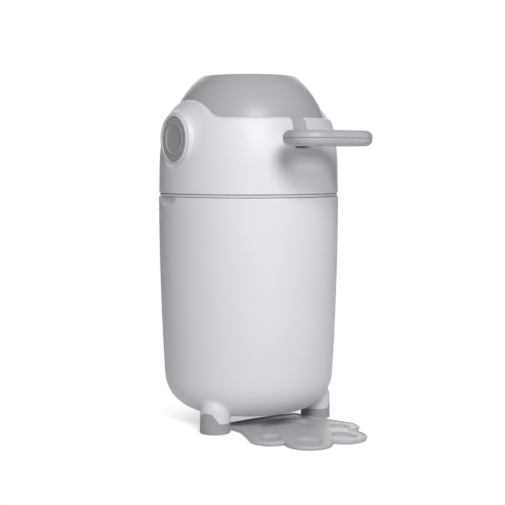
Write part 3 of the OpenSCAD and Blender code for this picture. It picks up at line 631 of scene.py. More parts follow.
@dataclass
class BodyShell:
    """The white body: its wall with two finger recesses, and three legs that flow into it.

    Sizes in millimetres.

    Attributes:
        sweep: radius of the side's slight barrel.
        scoop_reach: where they have run out, in half widths.
        scoop_dense: half width in radians of the zone of closer columns round a recess, and how much closer.
        rim_round: for each row of the rim's rounding, how far in and how far down it lies.
    """

    rim_r: float = 131.0
    rim_z: float = 332.0
    floor_z: float = 19.5
    corner: float = 55.0
    sweep: float = 4500.0
    wall: float = 3.0
    scoop_turn: float = 99.0
    scoop_depth: float = 4.6
    scoop_half_h: float = 11.0
    scoop_half_w: float = 28.0
    scoop_drop: float = 2.0
    scoop_fillet: float = 0.7
    scoop_reach: float = 1.3
    scoop_dense: Point = (0.26, 3.5)
    fine_from: float = 16.0
    fine_to: float = 2.2
    rim_round: tuple[Point, ...] = ((0.1, 1.5), (0.35, 0.9), (0.9, 0.35), (1.9, 0.0))
    inner_lip: float = 0.3
    inner_drops: tuple[float, ...] = (4.0, 8.0, 12.0, 18.0, 132.0)
    corner_rows: int = 30
    side_rows: int = 26
    inner_rows: int = 12
    columns: int = 480
    place: Place = Place("bin", "body_white", ("body_shell",))

    @property
    def corner_centre(self) -> Point:
        """Radius and height of the rounded bottom corner's centre."""
        height = self.floor_z + self.corner
        reach = math.sqrt((self.sweep - self.corner) ** 2 - (self.rim_z - height) ** 2)
        return (self.rim_r - self.sweep + reach, height)

    @property
    def corner_top(self) -> float:
        """Height at which the side meets the bottom corner."""
        centre = self.corner_centre
        return centre[1] - self.corner * (self.rim_z - centre[1]) / (self.sweep - self.corner)

    @property
    def scoop_middles(self) -> list[float]:
        """Angles of the two recesses from +X, in radians."""
        return [math.radians(side * self.scoop_turn - 90) for side in (-1, 1)]

    def plain_radius(self, z: Array, inset: float = 0.0) -> Array:
        """Radius of the side without its recesses, an inset inside the surface."""
        return self.rim_r - self.sweep + np.sqrt((self.sweep - inset) ** 2 - (z - self.rim_z) ** 2)

    def radius(self, turn: Array, z: Array) -> Array:
        """Radius of the side with the finger recesses.

        Args:
            turn: angles from +X in radians.
            z: heights above the floor.
        """
        result = self.plain_radius(z)
        tube = (self.scoop_half_h ** 2 + self.scoop_depth ** 2) / (2 * self.scoop_depth)
        rise = np.clip(z - self.rim_z + self.scoop_drop, -tube, tube)
        for middle in self.scoop_middles:
            away = np.abs(turn_from(turn, middle)) * self.rim_r
            depth = self.scoop_depth * (1 - (away / self.scoop_half_w) ** 2)
            floor = self.rim_r - depth + tube - np.sqrt(tube ** 2 - rise ** 2)
            cut_in = np.minimum(result, soft_union(result, floor, self.scoop_fillet))
            result = np.where(away < self.scoop_half_w * self.scoop_reach, cut_in, result)
        return result

    def section(self, turn: Array) -> Rows:
        """Return the wall's section, from the floor's middle outside to its middle inside.

        Args:
            turn: angles from +X in radians.
        """
        flat = np.zeros_like(turn)
        centre, low = self.corner_centre, self.corner_top
        meet = -math.degrees(math.asin((centre[1] - low) / self.corner))
        rows = [(flat, flat + self.floor_z), (flat + 0.5 * centre[0], flat + self.floor_z)]
        rows += [(flat + r, flat + z) for r, z in arc(centre, self.corner, -90, meet, self.corner_rows)]
        fine = self.rim_z - self.fine_from
        for z in (*np.linspace(low, fine, self.side_rows)[1:],
                  *np.linspace(fine + 0.5, self.rim_z - self.fine_to, self.side_rows)):
            rows.append((self.radius(turn, flat + z), flat + z))
        edge = self.radius(turn, flat + self.rim_z)
        rows += [(edge - back, flat + self.rim_z - drop) for back, drop in self.rim_round]
        inner = np.minimum(self.plain_radius(flat + self.rim_z, self.wall), edge - self.wall)
        rows += [(inner + self.inner_lip, flat + self.rim_z), (inner, flat + self.rim_z - self.inner_lip)]
        for z in (*(self.rim_z - drop for drop in self.inner_drops), low):
            height = flat + z
            scooped = self.radius(turn, height) - self.wall
            rows.append((np.minimum(self.plain_radius(height, self.wall), scooped), height))
        inside = arc(centre, self.corner - self.wall, -90, -4, self.inner_rows)
        rows += [(flat + r, flat + z) for r, z in reversed(inside)]
        return rows + [(flat, flat + self.floor_z + self.wall)]

    def bowl(self) -> Mesh:
        """Return the body's wall and floor as one closed sheet."""
        middles = [middle % FULL_TURN for middle in self.scoop_middles]

        def place(turn: Array, radius: Array, height: Array) -> Array:
            """Set points round the body's axis."""
            return np.column_stack([radius * np.cos(turn), radius * np.sin(turn) + AXIS.y, height]) * MM

        return sheet_of_rows("body_wall", self.columns, self.section,
                             lambda u: spread_turns(u, middles, *self.scoop_dense), place)

    def outside(self, radius: Array, height: Array) -> Array:
        """Return signed distances to the lower body, negative inside.

        Args:
            radius: distances from the body's axis.
            height: heights above the floor.
        """
        centre = self.corner_centre
        out_r, down = np.maximum(radius - centre[0], 0), np.maximum(centre[1] - height, 0)
        round_part = np.hypot(out_r, down) - self.corner
        return np.where(height < self.corner_top, round_part, radius - self.plain_radius(height))

    def build(self) -> None:
        """Build the wall and the legs and join them."""
        pieces = [self.bowl()] + [Leg(self, foot).build() for foot in FEET]
        for piece in pieces:
            smooth(piece, 40)
        self.place.settle(join(pieces, "body_shell_moulded"))


@dataclass(frozen=True)
class Foot:
    """One foot's place and form. Sizes in millimetres, angles in degrees.

    Attributes:
        name: the foot's name in the CAD nodes.
        turn: its angle from the front, positive towards +X.
        seat: height of the leg's lower end inside the cap.
        ring: radius of the circle on which the feet stand.
        band: height of the cap's edge away from its tab.
        tab: height of the tab's top.
        tab_half: half of the tab's level top.
        front_fall: angle at which the tab has run out towards the front.
        rear_fall: the same towards the rear.
    """

    name: str
    turn: float
    seat: float
    ring: float = 101.0
    radius: float = 21.8
    taper: float = 1.4
    leg_top: float = 74.5
    band: float = 15.0
    tab: float = 29.5
    front_fall: float = 52.0
    rear_fall: float = 88.0
    tab_half: float = 12.0

    def radius_at(self, z: Array) -> Array:
        """Radius of the leg and its cap at a height."""
        return self.radius - self.taper * z / self.leg_top

    def edge(self, turn: Array) -> Array:
        """Height of the cap's upper edge.

        Args:
            turn: angles round the foot, 0 outwards, in radians.
        """
        away = turn_from(turn)
        rearward = away if self.turn > 0 else -away
        fall = np.where((rearward > 0) & (abs(self.turn) < 180), self.rear_fall, self.front_fall)
        share = np.clip((np.degrees(np.abs(away)) - self.tab_half) / (fall - self.tab_half), 0, 1)
        return self.band + (self.tab - self.band) * (1 + np.cos(math.pi * share)) / 2

    def spread(self, points: Array) -> Array:
        """Turn places given round this foot into places in the frame.

        Args:
            points: distances outwards, sideways and heights in three columns, in millimetres.

        Returns:
            Points in metres.
        """
        turn = math.radians(self.turn)
        out = self.ring + points[:, 0]
        x = out * math.sin(turn) + points[:, 1] * math.cos(turn)
        y = -out * math.cos(turn) + points[:, 1] * math.sin(turn) + AXIS.y
        return np.column_stack([x, y, points[:, 2]]) * MM


FEET = (Foot("front_left", -63.0, 5.4), Foot("front_right", 63.0, 5.4), Foot("rear", 180.0, 3.4))


@dataclass(frozen=True)
class Leg:
    """A leg from its seat in the cap up to its domed top, which meets the body in a soft fillet.

    Sizes in millimetres.

    Attributes:
        eye_z: height of the point inside the leg from which rays find its surface.
        rays: distances from that point between which the surface lies.
        tilts: angles from straight down at which the leg ends, on its inner and its outer side, in degrees.
        first_up: height of the wall's first row above the line between cap and leg.
        sunk: how far the last row dips into the body, as a share of its distance.
    """

    body: BodyShell
    foot: Foot
    eye_z: float = 45.0
    rays: Point = (5.0, 78.0)
    cap_wall: float = 2.7
    gap: float = 0.3
    ledge: float = 0.3
    edge_round: Point = (0.06, 0.25)
    first_up: float = 0.6
    fillet: float = 5.0
    dome_z: float = 33.0
    tilts: Point = (56.0, 148.0)
    tilt_power: float = 2.06
    sunk: float = 0.004
    columns: int = 200
    rows: int = 64

    def _hits(self, turn: Array, tilt: Array) -> Array:
        """Return where rays from a point inside the leg leave the joined body and leg.

        Args:
            turn: angles round the foot, 0 outwards, in radians.
            tilt: angles from straight down, in radians.

        Returns:
            Distances outwards, sideways and heights, in three columns.
        """
        way = np.column_stack([np.sin(tilt) * np.cos(turn), np.sin(tilt) * np.sin(turn), -np.cos(tilt)])

        def out(reach: Array) -> Array:
            """Tell which rays have left the joined form at a distance."""
            spot = way * reach[:, None]
            height = spot[:, 2] + self.eye_z
            across = np.hypot(spot[:, 0], spot[:, 1])
            leg = np.hypot(across, np.maximum(height - self.dome_z, 0)) - self.foot.radius_at(height)
            bowl = self.body.outside(np.hypot(self.foot.ring + spot[:, 0], spot[:, 1]), height)
            return soft_union(leg, bowl, self.fillet) > 0

        near, far = (np.full_like(turn, reach) for reach in self.rays)
        inside, _ = bisect(near, far, out, steps=34)
        spot = way * inside[:, None]
        return np.column_stack([spot[:, 0], spot[:, 1], spot[:, 2] + self.eye_z])

    def build(self) -> Mesh:
        """Return the leg as one sheet: five rows of its seat and its edge, and then its wall."""
        seat_rows = 5

        def shape(u: Array, v: Array) -> Array:
            """Return points at places round the leg and up from its seat."""
            turn = u * FULL_TURN
            index = row_of(v, self.rows + seat_rows)
            low = 0 * turn + self.foot.seat
            edge = self.foot.edge(turn) + self.gap
            wide = self.foot.radius_at(edge)
            back, lift = self.edge_round
            seat = [(0 * turn, low), (wide - self.cap_wall, low), (wide - self.cap_wall, edge),
                    (wide - self.ledge, edge), (wide - back, edge + lift)]
            radius, height = take_rows(seat, np.minimum(index, seat_rows - 1))
            points = np.column_stack([radius * np.cos(turn), radius * np.sin(turn), height])
            first = np.arctan2(wide, self.eye_z - edge - self.first_up)
            inner, outer = self.tilts
            last = np.radians(inner + (outer - inner) * (0.5 + 0.5 * np.cos(turn)) ** self.tilt_power)
            share = np.clip((index - seat_rows) / (self.rows - 1), 0, 1)
            wall = self._hits(turn, first + (last - first) * share)
            dip = (share == 1)[:, None] * self.sunk * (wall - np.array([0, 0, self.eye_z]))
            return self.foot.spread(np.where((index < seat_rows)[:, None], points, wall - dip))

        return sheet_of("leg", self.columns, self.rows + seat_rows - 1, shape)


@dataclass(frozen=True)
class FootCap:
    """A grey cap on a foot, with its tab up the leg's outer side. Sizes in millimetres.

    Attributes:
        screw: radius and depth of the screw's hole and of its head's seat.
        low_edge: for each row of the lower edge's rounding, how far in and how far up it lies.
        top_edge: for each row of the upper edge's rounding, how far in and how far down it lies.
        slot: half width of the slot for the plate's ear, and the heights of its floor and roof.
    """

    foot: Foot
    wall: float = 2.4
    low: float = 0.6
    floor: float = 3.4
    pad: Point = (15.1, 1.4)
    screw: tuple[Point, Point] = ((1.8, 2.5), (3.3, 2.5))
    low_edge: tuple[Point, ...] = ((1.2, 0.0), (0.5, 0.15), (0.12, 0.6), (0.0, 1.3))
    top_edge: tuple[Point, ...] = ((0.06, 0.35), (0.22, 0.1), (0.5, 0.0))
    top_drop: float = 0.7
    inner_round: float = 0.2
    slot: tuple[float, float, float] = (7.3, 3.3, 5.7)
    slot_reach: float = 30.0
    columns: int = 200

    def section(self, turn: Array) -> Rows:
        """Return the cap's section, from the screw's hole underneath round the outside to its upper end.

        Args:
            turn: angles round the foot, 0 outwards, in radians.
        """
        flat, edge = 0 * turn, self.foot.edge(turn)
        bore = self.screw[0][0]
        inner = [(bore, self.floor), *self.screw, (self.screw[1][0], self.pad[1]), self.pad,
                 (self.pad[0], self.low)]
        rows = [(flat + r, flat + z) for r, z in inner]
        for back, rise in self.low_edge:
            height = flat + (self.low + rise)
            rows.append((self.foot.radius_at(height) - back, height))
        for share in np.linspace(0.1, 1, 10):
            z = self.low + rise + (edge - self.top_drop - self.low - rise) * share
            rows.append((self.foot.radius_at(z), z))
        wide = self.foot.radius_at(edge)
        rows += [(wide - back, edge - drop) for back, drop in self.top_edge]
        inside = wide - self.wall
        return rows + [(inside + self.inner_round, edge), (inside, edge - self.inner_round),
                       (inside, flat + self.floor), (flat + bore, flat + self.floor)]

    def build(self) -> None:
        """Lay the cap's skin as one closed sheet and cut the slot for the plate's ear."""
        foot = self.foot

        def place(turn: Array, radius: Array, height: Array) -> Array:
            """Set points round the foot."""
            return foot.spread(np.column_stack([radius * np.cos(turn), radius * np.sin(turn), height]))

        cap = sheet_of_rows(f"{foot.name}_foot_cap_moulded", self.columns, self.section,
                            lambda u: u * FULL_TURN, place)
        if foot.name != "rear":
            x, y, _ = foot.spread(np.zeros((1, 3)))[0]
            half, low, high = self.slot
            corners = [(x, y + half * way * MM, z * MM)
                       for way, z in ((-1, low), (1, low), (1, high), (-1, high))]
            inwards = 1 if foot.turn < 0 else -1
            cut(cap, prism("ear_slot", corners, (inwards * self.slot_reach * MM, 0, 0)))
        smooth(cap, 35)
        Place("bin", "trim_grey", (f"{foot.name}_foot_cap",)).settle(cap)


# ---- foot plate ----

@dataclass(frozen=True)
class Dish:
    """A soft oval hollow in the foot plate. Sizes in millimetres, measured from the body's axis."""

    x: float
    y: float
    half_x: float
    half_y: float
    turn: float
    depth: float
    flat: float

    def fall(self, x: Array, y: Array) -> Array:
        """Return how far the hollow lowers the surface, from places across and from front to back."""
        reach = self.reach(x, y)
        return self.depth * (1 - smooth_step(reach, self.flat, 1.05))

    def reach(self, x: Array, y: Array) -> Array:
        """Return the distance from the hollow's middle, 1 at its edge.

        Args:
            x: places across.
            y: places from front to back.
        """
        turn = math.radians(self.turn)
        along = (x - self.x) * math.cos(turn) + (y - self.y) * math.sin(turn)
        across = -(x - self.x) * math.sin(turn) + (y - self.y) * math.cos(turn)
        return np.hypot(along / self.half_x, across / self.half_y)


@dataclass
class FootPlate:
    """The paw-shaped foot plate: a low dome with an edge line, a pad's hollow and four toes' hollows.

    Sizes in millimetres, measured from the body's axis.

    Attributes:
        neck: where the toes begin, in radii of the outer toe behind its middle.
        flare: how far the sides flare, in radii of the outer toe.
        line: distances from the outline between which the surface steps down by line_drop.
        lip: height, place and width of the swelling behind the pad, the last two in half widths of the pad.
        lip_span: where the swelling begins and is full, measured from the pad's middle.
        undercut: how far in, and up to what height above low, the edge's lower part is set back.
    """

    rear: float = 25.0
    half_w: float = 67.0
    waist: float = 74.0
    outer_toe: Point = (60.0, -137.0)
    outer_r: float = 30.0
    inner_toe: Point = (30.0, -184.0)
    inner_r: float = 33.0
    top: float = 9.6
    dome_r: float = 1500.0
    dome_y: float = -120.0
    low: float = 1.3
    middle_y: float = -112.0
    neck: float = 0.6
    flare: float = 0.8
    web: float = 24.0
    line: Point = (3.2, 4.6)
    line_drop: float = 1.3
    edge_round: float = 1.5
    edge_steps: tuple[float, ...] = (
        0.0, 0.12, 0.35, 0.7, 1.1, 1.5, 2.2, 2.9, 3.2, 3.5, 3.8, 4.1, 4.5, 5.0, 5.8)
    lip: tuple[float, float, float] = (0.75, 1.06, 0.13)
    lip_span: Point = (-6.0, 22.0)
    wall: float = 3.0
    roof: float = 6.2
    undercut: Point = (1.8, 1.9)
    reaches: Point = (20.0, 160.0)
    outline_points: int = 1440
    blur: int = 14
    blur_width: float = 5.0
    outline_gap: float = 0.15
    ear: tuple[Point, ...] = ((62.0, -52.9), (90.0, -52.9), (90.0, -38.9), (62.0, -38.9))
    ear_z: Point = (3.4, 2.0)
    columns: int = 640
    field_rows: int = 64
    pad: Dish = Dish(0.0, -91.0, 41.0, 36.0, 0.0, 3.0, 0.84)
    toes: tuple[Dish, ...] = (
        Dish(-60.5, -139.0, 14.0, 18.0, -20.0, 3.2, 0.62), Dish(60.5, -139.0, 14.0, 18.0, 20.0, 3.2, 0.62),
        Dish(-30.5, -185.0, 16.0, 20.0, -6.0, 3.4, 0.66), Dish(30.5, -185.0, 16.0, 20.0, 6.0, 3.4, 0.66))
    place: Place = Place("bin", "plate_grey", ("foot_plate",))

    def _inside(self, x: Array, y: Array) -> Array:
        """Tell which points lie inside the outline.

        Args:
            x: places across.
            y: places from front to back.
        """
        across = np.abs(x)
        outer, inner = self.outer_toe, self.inner_toe
        neck_y = outer[1] + self.neck * self.outer_r
        share = (-self.waist - y) / (-self.waist - neck_y)
        flare = self.half_w + (outer[0] + self.flare * self.outer_r - self.half_w) * share
        block = (y < -self.rear) & (y > neck_y) & (across < np.maximum(self.half_w, flare))
        lobes = (np.hypot(across - outer[0], y - outer[1]) < self.outer_r) | (
            np.hypot(across - inner[0], y - inner[1]) < self.inner_r)
        web_x = outer[0] + (inner[0] - outer[0]) * (y - outer[1]) / (inner[1] - outer[1])
        web = (y <= neck_y) & (y > inner[1]) & (across < np.minimum(web_x, outer[0] + self.web))
        return block | lobes | web

    def outline(self, turn: Array) -> Array:
        """Distance from the plate's middle to its outline, its inner corners softened.

        Args:
            turn: angles from +X in radians.
        """
        angles = np.linspace(0, FULL_TURN, self.outline_points + 1)[:-1]

        def past(reach: Array) -> Array:
            """Tell which distances lie past the outline."""
            return ~self._inside(reach * np.cos(angles), self.middle_y + reach * np.sin(angles))

        near, far = (np.full_like(angles, reach) for reach in self.reaches)
        low, _ = bisect(near, far, past, steps=30)
        steps = range(-self.blur, self.blur + 1)
        weights = np.exp(-(np.array(steps) / self.blur_width) ** 2)
        soft = sum(np.roll(low, k) * w for k, w in zip(steps, weights)) / weights.sum()
        reach = np.interp(turn % FULL_TURN, np.append(angles, FULL_TURN), np.append(soft, soft[0]))
        return reach - self.outline_gap

    def surface(self, x: Array, y: Array, depth_in: Array) -> Array:
        """Height of the plate's top.

        Args:
            x: places across.
            y: places from front to back.
            depth_in: distances from the outline.
        """
        height = self.top - (x ** 2 + (y - self.dome_y) ** 2) / (2 * self.dome_r)
        height -= self.line_drop * smooth_step(depth_in, *self.line)
        turn = self.edge_round
        inside = np.maximum(turn - depth_in, 0)
        height -= np.maximum(turn - np.sqrt(np.maximum(turn ** 2 - inside ** 2, 0)), 0)
        rise, place, width = self.lip
        rear = smooth_step(y, self.pad.y + self.lip_span[0], self.pad.y + self.lip_span[1])
        height += rise * rear * np.exp(-((self.pad.reach(x, y) - place) / width) ** 2)
        return height - self.pad.fall(x, y) - sum(toe.fall(x, y) for toe in self.toes)

    def _skin(self) -> Mesh:
        """Return the plate's top, edge and underside as one closed sheet."""
        under = 5
        edge_end = under + len(self.edge_steps)
        count = edge_end + self.field_rows
        roof, aside, far_in = self.top - self.roof, 0.004, 20.0
        back, rise = self.undercut
        below_in = np.array([0.0, self.wall, self.wall, back, 0.05])
        below_z = np.array([roof, roof, self.low, self.low, self.low + rise])

        def shape(u: Array, v: Array) -> Array:
            """Return points at places round the plate and from its underside to the middle of its top."""
            turn = u * FULL_TURN
            reach = self.outline(turn)
            slope = (self.outline(turn + aside) - self.outline(turn - aside)) / (2 * aside)
            lean = np.sqrt(1 + (slope / reach) ** 2)
            index = row_of(v, count)
            step = np.interp(index, range(under, edge_end), self.edge_steps)
            inward = np.minimum(step * lean, 0.3 * reach)
            share = np.clip((index - edge_end + 1) / self.field_rows, 0, 1)
            radius = (reach - inward) * (1 - share)
            x, y = radius * np.cos(turn), self.middle_y + radius * np.sin(turn)
            height = self.surface(x, y, np.where(share > 0, far_in, step))
            below = index < under
            row = np.minimum(index, under - 1)
            radius = np.where(below, np.where(row > 0, reach - below_in[row], 0.0), radius)
            height = np.where(below, below_z[row], height)
            x, y = radius * np.cos(turn), self.middle_y + radius * np.sin(turn)
            return np.column_stack([x, y + AXIS.y, height]) * MM

        return sheet_of("foot_plate_moulded", self.columns, count - 1, shape)

    def build(self) -> None:
        """Lay the plate's skin and add its two ears."""
        plate = self._skin()
        smooth(plate, 38)
        low, thick = self.ear_z
        ears = [prism("plate_ear", [(side * x * MM, (y + AXIS.y) * MM, low * MM) for x, y in self.ear],
                      (0, 0, thick * MM)) for side in (-1, 1)]
        self.place.settle(join([plate, *ears], plate.name))


# ---- head ----

@dataclass
class HeadShell:
    """The white head with its humps, bosses, rim and notches. Sizes in millimetres.

    Attributes:
        hump_run: distance from the pivots' line at which a hump has run out into the rim.
        boss_slope: how far a boss's flank falls for each millimetre outwards from its ring.
        boss_reach: distance from the pivot past which there is no boss.
        boss_blend: how far outside the ring the wall leaves the ring's level, and where it is free of it.
        notch_ref: radius at which the notches' widths are measured.
        notch_floor: places of columns across half a notch's floor.
        notch_flank: places of columns beside a notch.
        notch_blend: distances from a notch's middle between which columns turn from parallel to radial.
    """

    foot_z: float = 337.0
    foot_r: float = 130.6
    wall: float = 3.0
    straight: float = 33.0
    shoulder_r: float = 130.0
    shoulder_sweep: float = 273.0
    cowl_z: float = 428.0
    cowl_sweep: float = 90.0
    rim_z: float = 443.0
    hump_z: float = 468.5
    hump_top: float = 75.0
    hump_run: float = 70.0
    ball: float = 113.5
    gap: float = 1.1
    boss_r: float = 34.5
    boss_face: float = 128.4
    boss_slope: float = 1.25
    fillet: float = 7.0
    boss_round: float = 0.8
    boss_reach: float = 70.0
    boss_blend: Point = (0.4, 7.0)
    margin: Point = (3.0, 16.0)
    rim_round: float = 8.5
    cap_r: float = 31.3
    cap_gap: float = 0.35
    lip: Point = (1.5, 0.6)
    seat: float = 121.5
    bearing: float = 118.3
    axle_r: float = 9.4
    notch_w: float = 24.0
    notch_low: float = 401.0
    notch_round: float = 3.0
    notch_low_r: float = 2.0
    notch_edge: float = 2.0
    notch_step: float = 0.3
    notch_ref: float = 126.2
    notch_floor: tuple[float, ...] = (0, 3, 6, 8.5, 9.7, 10.4, 11.0, 11.4, 11.6)
    notch_flank: tuple[float, ...] = (15.8, 17, 19, 21.5)
    notch_blend: Point = (16.0, 40.0)
    bevel: float = 0.8
    knee_drop: float = 4.0
    edge_drops: tuple[float, ...] = (0.5, 2.0, 4.0)
    lip_h: float = 9.0
    ledge_w: float = 4.0
    below_notch: float = 14.0
    inner_z: float = 365.0
    side_columns: int = 250
    wall_rows: int = 84
    place: Place = Place("head", "body_white", ("head_shell",))

    def plain_radius(self, z: Array) -> Array:
        """Outer radius of the head without its bosses.

        Args:
            z: heights above the floor.
        """
        shoulder_z = self.foot_z + self.straight
        turn = math.asin((self.cowl_z - shoulder_z) / self.shoulder_sweep)
        shoulder_x = self.shoulder_r - self.shoulder_sweep
        cowl_x = shoulder_x + (self.shoulder_sweep - self.cowl_sweep) * math.cos(turn)
        cowl_z = shoulder_z + (self.shoulder_sweep - self.cowl_sweep) * math.sin(turn)
        low = self.foot_r + (self.shoulder_r - self.foot_r) * (z - self.foot_z) / self.straight
        middle = shoulder_x + np.sqrt(np.maximum(self.shoulder_sweep ** 2 - (z - shoulder_z) ** 2, 1))
        high = cowl_x + np.sqrt(np.maximum(self.cowl_sweep ** 2 - (z - cowl_z) ** 2, 1))
        return np.where(z < shoulder_z, low, np.where(z < self.cowl_z, middle, high))

    def radius(self, turn: Array, z: Array) -> Array:
        """Outer radius with the bosses blended in.

        Args:
            turn: angles from +X in radians.
            z: heights above the floor.
        """
        plain = self.plain_radius(z)
        edge = self.boss_face - self.boss_round
        tilt = 1 / math.hypot(1, self.boss_slope)

        def outside(reach: Array) -> Array:
            """Tell which radii lie outside the wall and its bosses."""
            across = np.abs(reach * np.cos(turn))
            ring = np.hypot(reach * np.sin(turn), z - AXIS.pivot_z)
            flank = (across - edge + (ring - self.boss_r) * self.boss_slope) * tilt
            flank += np.maximum(ring - self.boss_reach, 0)
            return soft_union(reach - plain, flank, self.fillet) > 0

        low, high = bisect(plain - self.margin[0], plain + self.margin[1], outside, steps=30)
        joined = (low + high) / 2
        ring = np.hypot(joined * np.sin(turn), z - AXIS.pivot_z)
        near, far = self.boss_blend
        pull = 1 - smooth_step(ring, self.boss_r + near, self.boss_r + far)
        return joined + pull * (edge / np.maximum(np.abs(np.cos(turn)), 0.5) - joined)

    def rim_height(self, reach: Array) -> Array:
        """Height of the rim at a distance in front of or behind the pivots' line.

        Args:
            reach: the distance, 0 or more.
        """
        rise = self.hump_z - self.rim_z
        foot = (self.hump_run ** 2 + rise ** 2) / (2 * rise) - self.hump_top
        meet = self.hump_top * self.hump_run / (self.hump_top + foot)
        top = self.hump_z - self.hump_top + np.sqrt(np.maximum(self.hump_top ** 2 - reach ** 2, 0))
        run = self.rim_z + foot - np.sqrt(np.maximum(foot ** 2 - (reach - self.hump_run) ** 2, 0))
        return np.where(reach < meet, top, np.where(reach < self.hump_run, run, self.rim_z))

    def turns(self) -> Array:
        """Return the columns' angles, with a column at each turn of the notches' outline."""
        half, turn = self.notch_w / 2, self.notch_round
        places = [*self.notch_floor, half - self.notch_step]
        places += [half + turn - turn * math.cos(math.radians(a)) for a in range(0, 91, 15)]
        places += self.notch_flank
        steps = np.arcsin(np.array(places) / self.notch_ref)
        quarter = math.pi / 2
        side = np.linspace(quarter + steps[-1], 3 * quarter - steps[-1], self.side_columns)
        first = np.concatenate([quarter + steps, side[1:-1], 3 * quarter - steps[::-1]])
        return np.concatenate([first, first[1:] + math.pi])

    def notch_limit(self, turn: Array) -> Array:
        """Height that the notches allow the rim at an angle.

        Args:
            turn: angles from +X in radians.
        """
        across = self.notch_ref * np.abs(np.cos(turn))
        half, high_r, low_r = self.notch_w / 2, self.notch_round, self.notch_low_r
        foot = np.maximum(across - (half - self.notch_step - low_r), 0)
        low = self.notch_low + low_r - np.sqrt(np.maximum(low_r ** 2 - foot ** 2, 0))
        rise = np.sqrt(np.maximum(high_r ** 2 - (half + high_r - across) ** 2, 0))
        high = np.where(across < half + high_r, self.rim_z - high_r + rise, math.inf)
        return np.where(across < half - self.notch_step / 2, low, high)

    def section(self, turn: Array) -> Rows:
        """Return the wall's section, from its foot up the outside, over the rim and down the inside.

        Args:
            turn: angles from +X in radians.
        """
        flat, lean = 0 * turn, np.abs(np.sin(turn))
        limit = self.notch_limit(turn)
        rim = np.full_like(turn, self.rim_z)
        for _ in range(40):
            rim = 0.5 * rim + 0.5 * self.rim_height(self.plain_radius(rim) * lean)
        rim = np.minimum(rim, limit)
        corner, edge = self.plain_radius(rim), self.ball_radius(rim)
        in_notch = limit < (self.notch_low + self.rim_z) / 2
        reach = np.where(in_notch, self.notch_edge, np.minimum(self.rim_round, 0.5 * (corner - edge)))
        bevel, foot = self.bevel, self.foot_z
        rows = [(self.plain_radius(foot + flat) - back, foot + flat) for back in (self.wall, bevel)]
        top = rim - reach
        knee = self.notch_low - self.knee_drop
        low_rows = self.wall_rows // 2
        high_rows = self.wall_rows - low_rows
        heights = [foot + bevel + (knee - foot - bevel) * i / low_rows + flat for i in range(low_rows)]
        heights += [knee + (top - knee) * i / high_rows for i in range(high_rows + 1)]
        rows += [(self.radius(turn, z), z) for z in heights]
        start, end = rows[-1][0], corner - reach
        end_z = np.minimum(self.rim_height(end * lean), limit)
        rows += [(bend(i / 8, start, corner, end), bend(i / 8, top, rim, end_z)) for i in range(1, 9)]
        rows.append((edge + 0.5, np.minimum(self.rim_height((edge + 0.5) * lean), limit)))
        rows += [(self.ball_radius(rim - drop), rim - drop) for drop in self.edge_drops]
        ledge = rim - self.lip_h
        inside = np.minimum(self.plain_radius(ledge) - self.wall, self.ball_radius(ledge) + self.ledge_w)
        rows.append((inside, ledge))
        high, low = ledge - self.wall, self.notch_low - self.below_notch + flat
        rows += [(self.plain_radius(z) - self.wall, z)
                 for z in (high, (high + low) / 2, low, self.inner_z + flat, foot + flat)]
        return rows

    def ball_radius(self, z: Array) -> Array:
        """Radius of the edge round the drum's ball at a height."""
        return np.sqrt((self.ball + self.gap) ** 2 - (z - AXIS.pivot_z) ** 2)

    def skin(self) -> Mesh:
        """Return the head's wall and rim as one closed sheet."""
        turns = self.turns()

        def place(turn: Array, radius: Array, height: Array) -> Array:
            """Set points round the head's axis, with straight columns near the notches."""
            across = self.notch_ref * np.cos(turn)
            share = smooth_step(np.abs(across), *self.notch_blend)
            x = across * (radius / self.notch_ref) ** share
            y = np.sign(np.sin(turn)) * np.sqrt(np.maximum(radius ** 2 - x ** 2, 0))
            return np.column_stack([x, y + AXIS.y, height]) * MM

        return sheet_of_rows("head_wall", len(turns) - 1, self.section,
                             lambda u: turns[row_of(u, len(turns))], place)

    def boss(self, along: str) -> Mesh:
        """Return the ring round a pivot cap, with its raised lip, bore and bearing plate.

        Args:
            along: "X" or "-X".
        """
        lip = self.cap_r + self.cap_gap
        width, rise = self.lip
        ring, top = self.boss_r - 0.05, self.boss_face + rise
        outline = rounded(
            [(ring, self.bearing), (ring, self.boss_face), (lip + width, self.boss_face),
             (lip + width - 0.2, top), (lip, top), (lip, self.seat),
             (self.axle_r, self.seat), (self.axle_r, self.bearing)],
            [0, 0.9, 0.3, 0.4, 0.4, 0.2, 0.2, 0])
        return turn_outline("head_boss", outline, AXIS.pivot, along, steps=128, closed=True)

    def build(self) -> None:
        """Build the head, cut its bores, and join its bosses to it."""
        head = self.skin()
        for side in (-1.0, 1.0):
            drill(head, (side * self.shoulder_r, AXIS.y, AXIS.pivot_z), self.boss_r - 0.02, depth=60,
                  vertices=160, level=True)
        smooth(head, 30)
        weigh_normals(head)
        bosses = [self.boss(along) for along in ("X", "-X")]
        for boss in bosses:
            smooth(boss, 35)
        self.place.settle(join([head, *bosses], "head_shell_moulded"))


# ---- drum ----

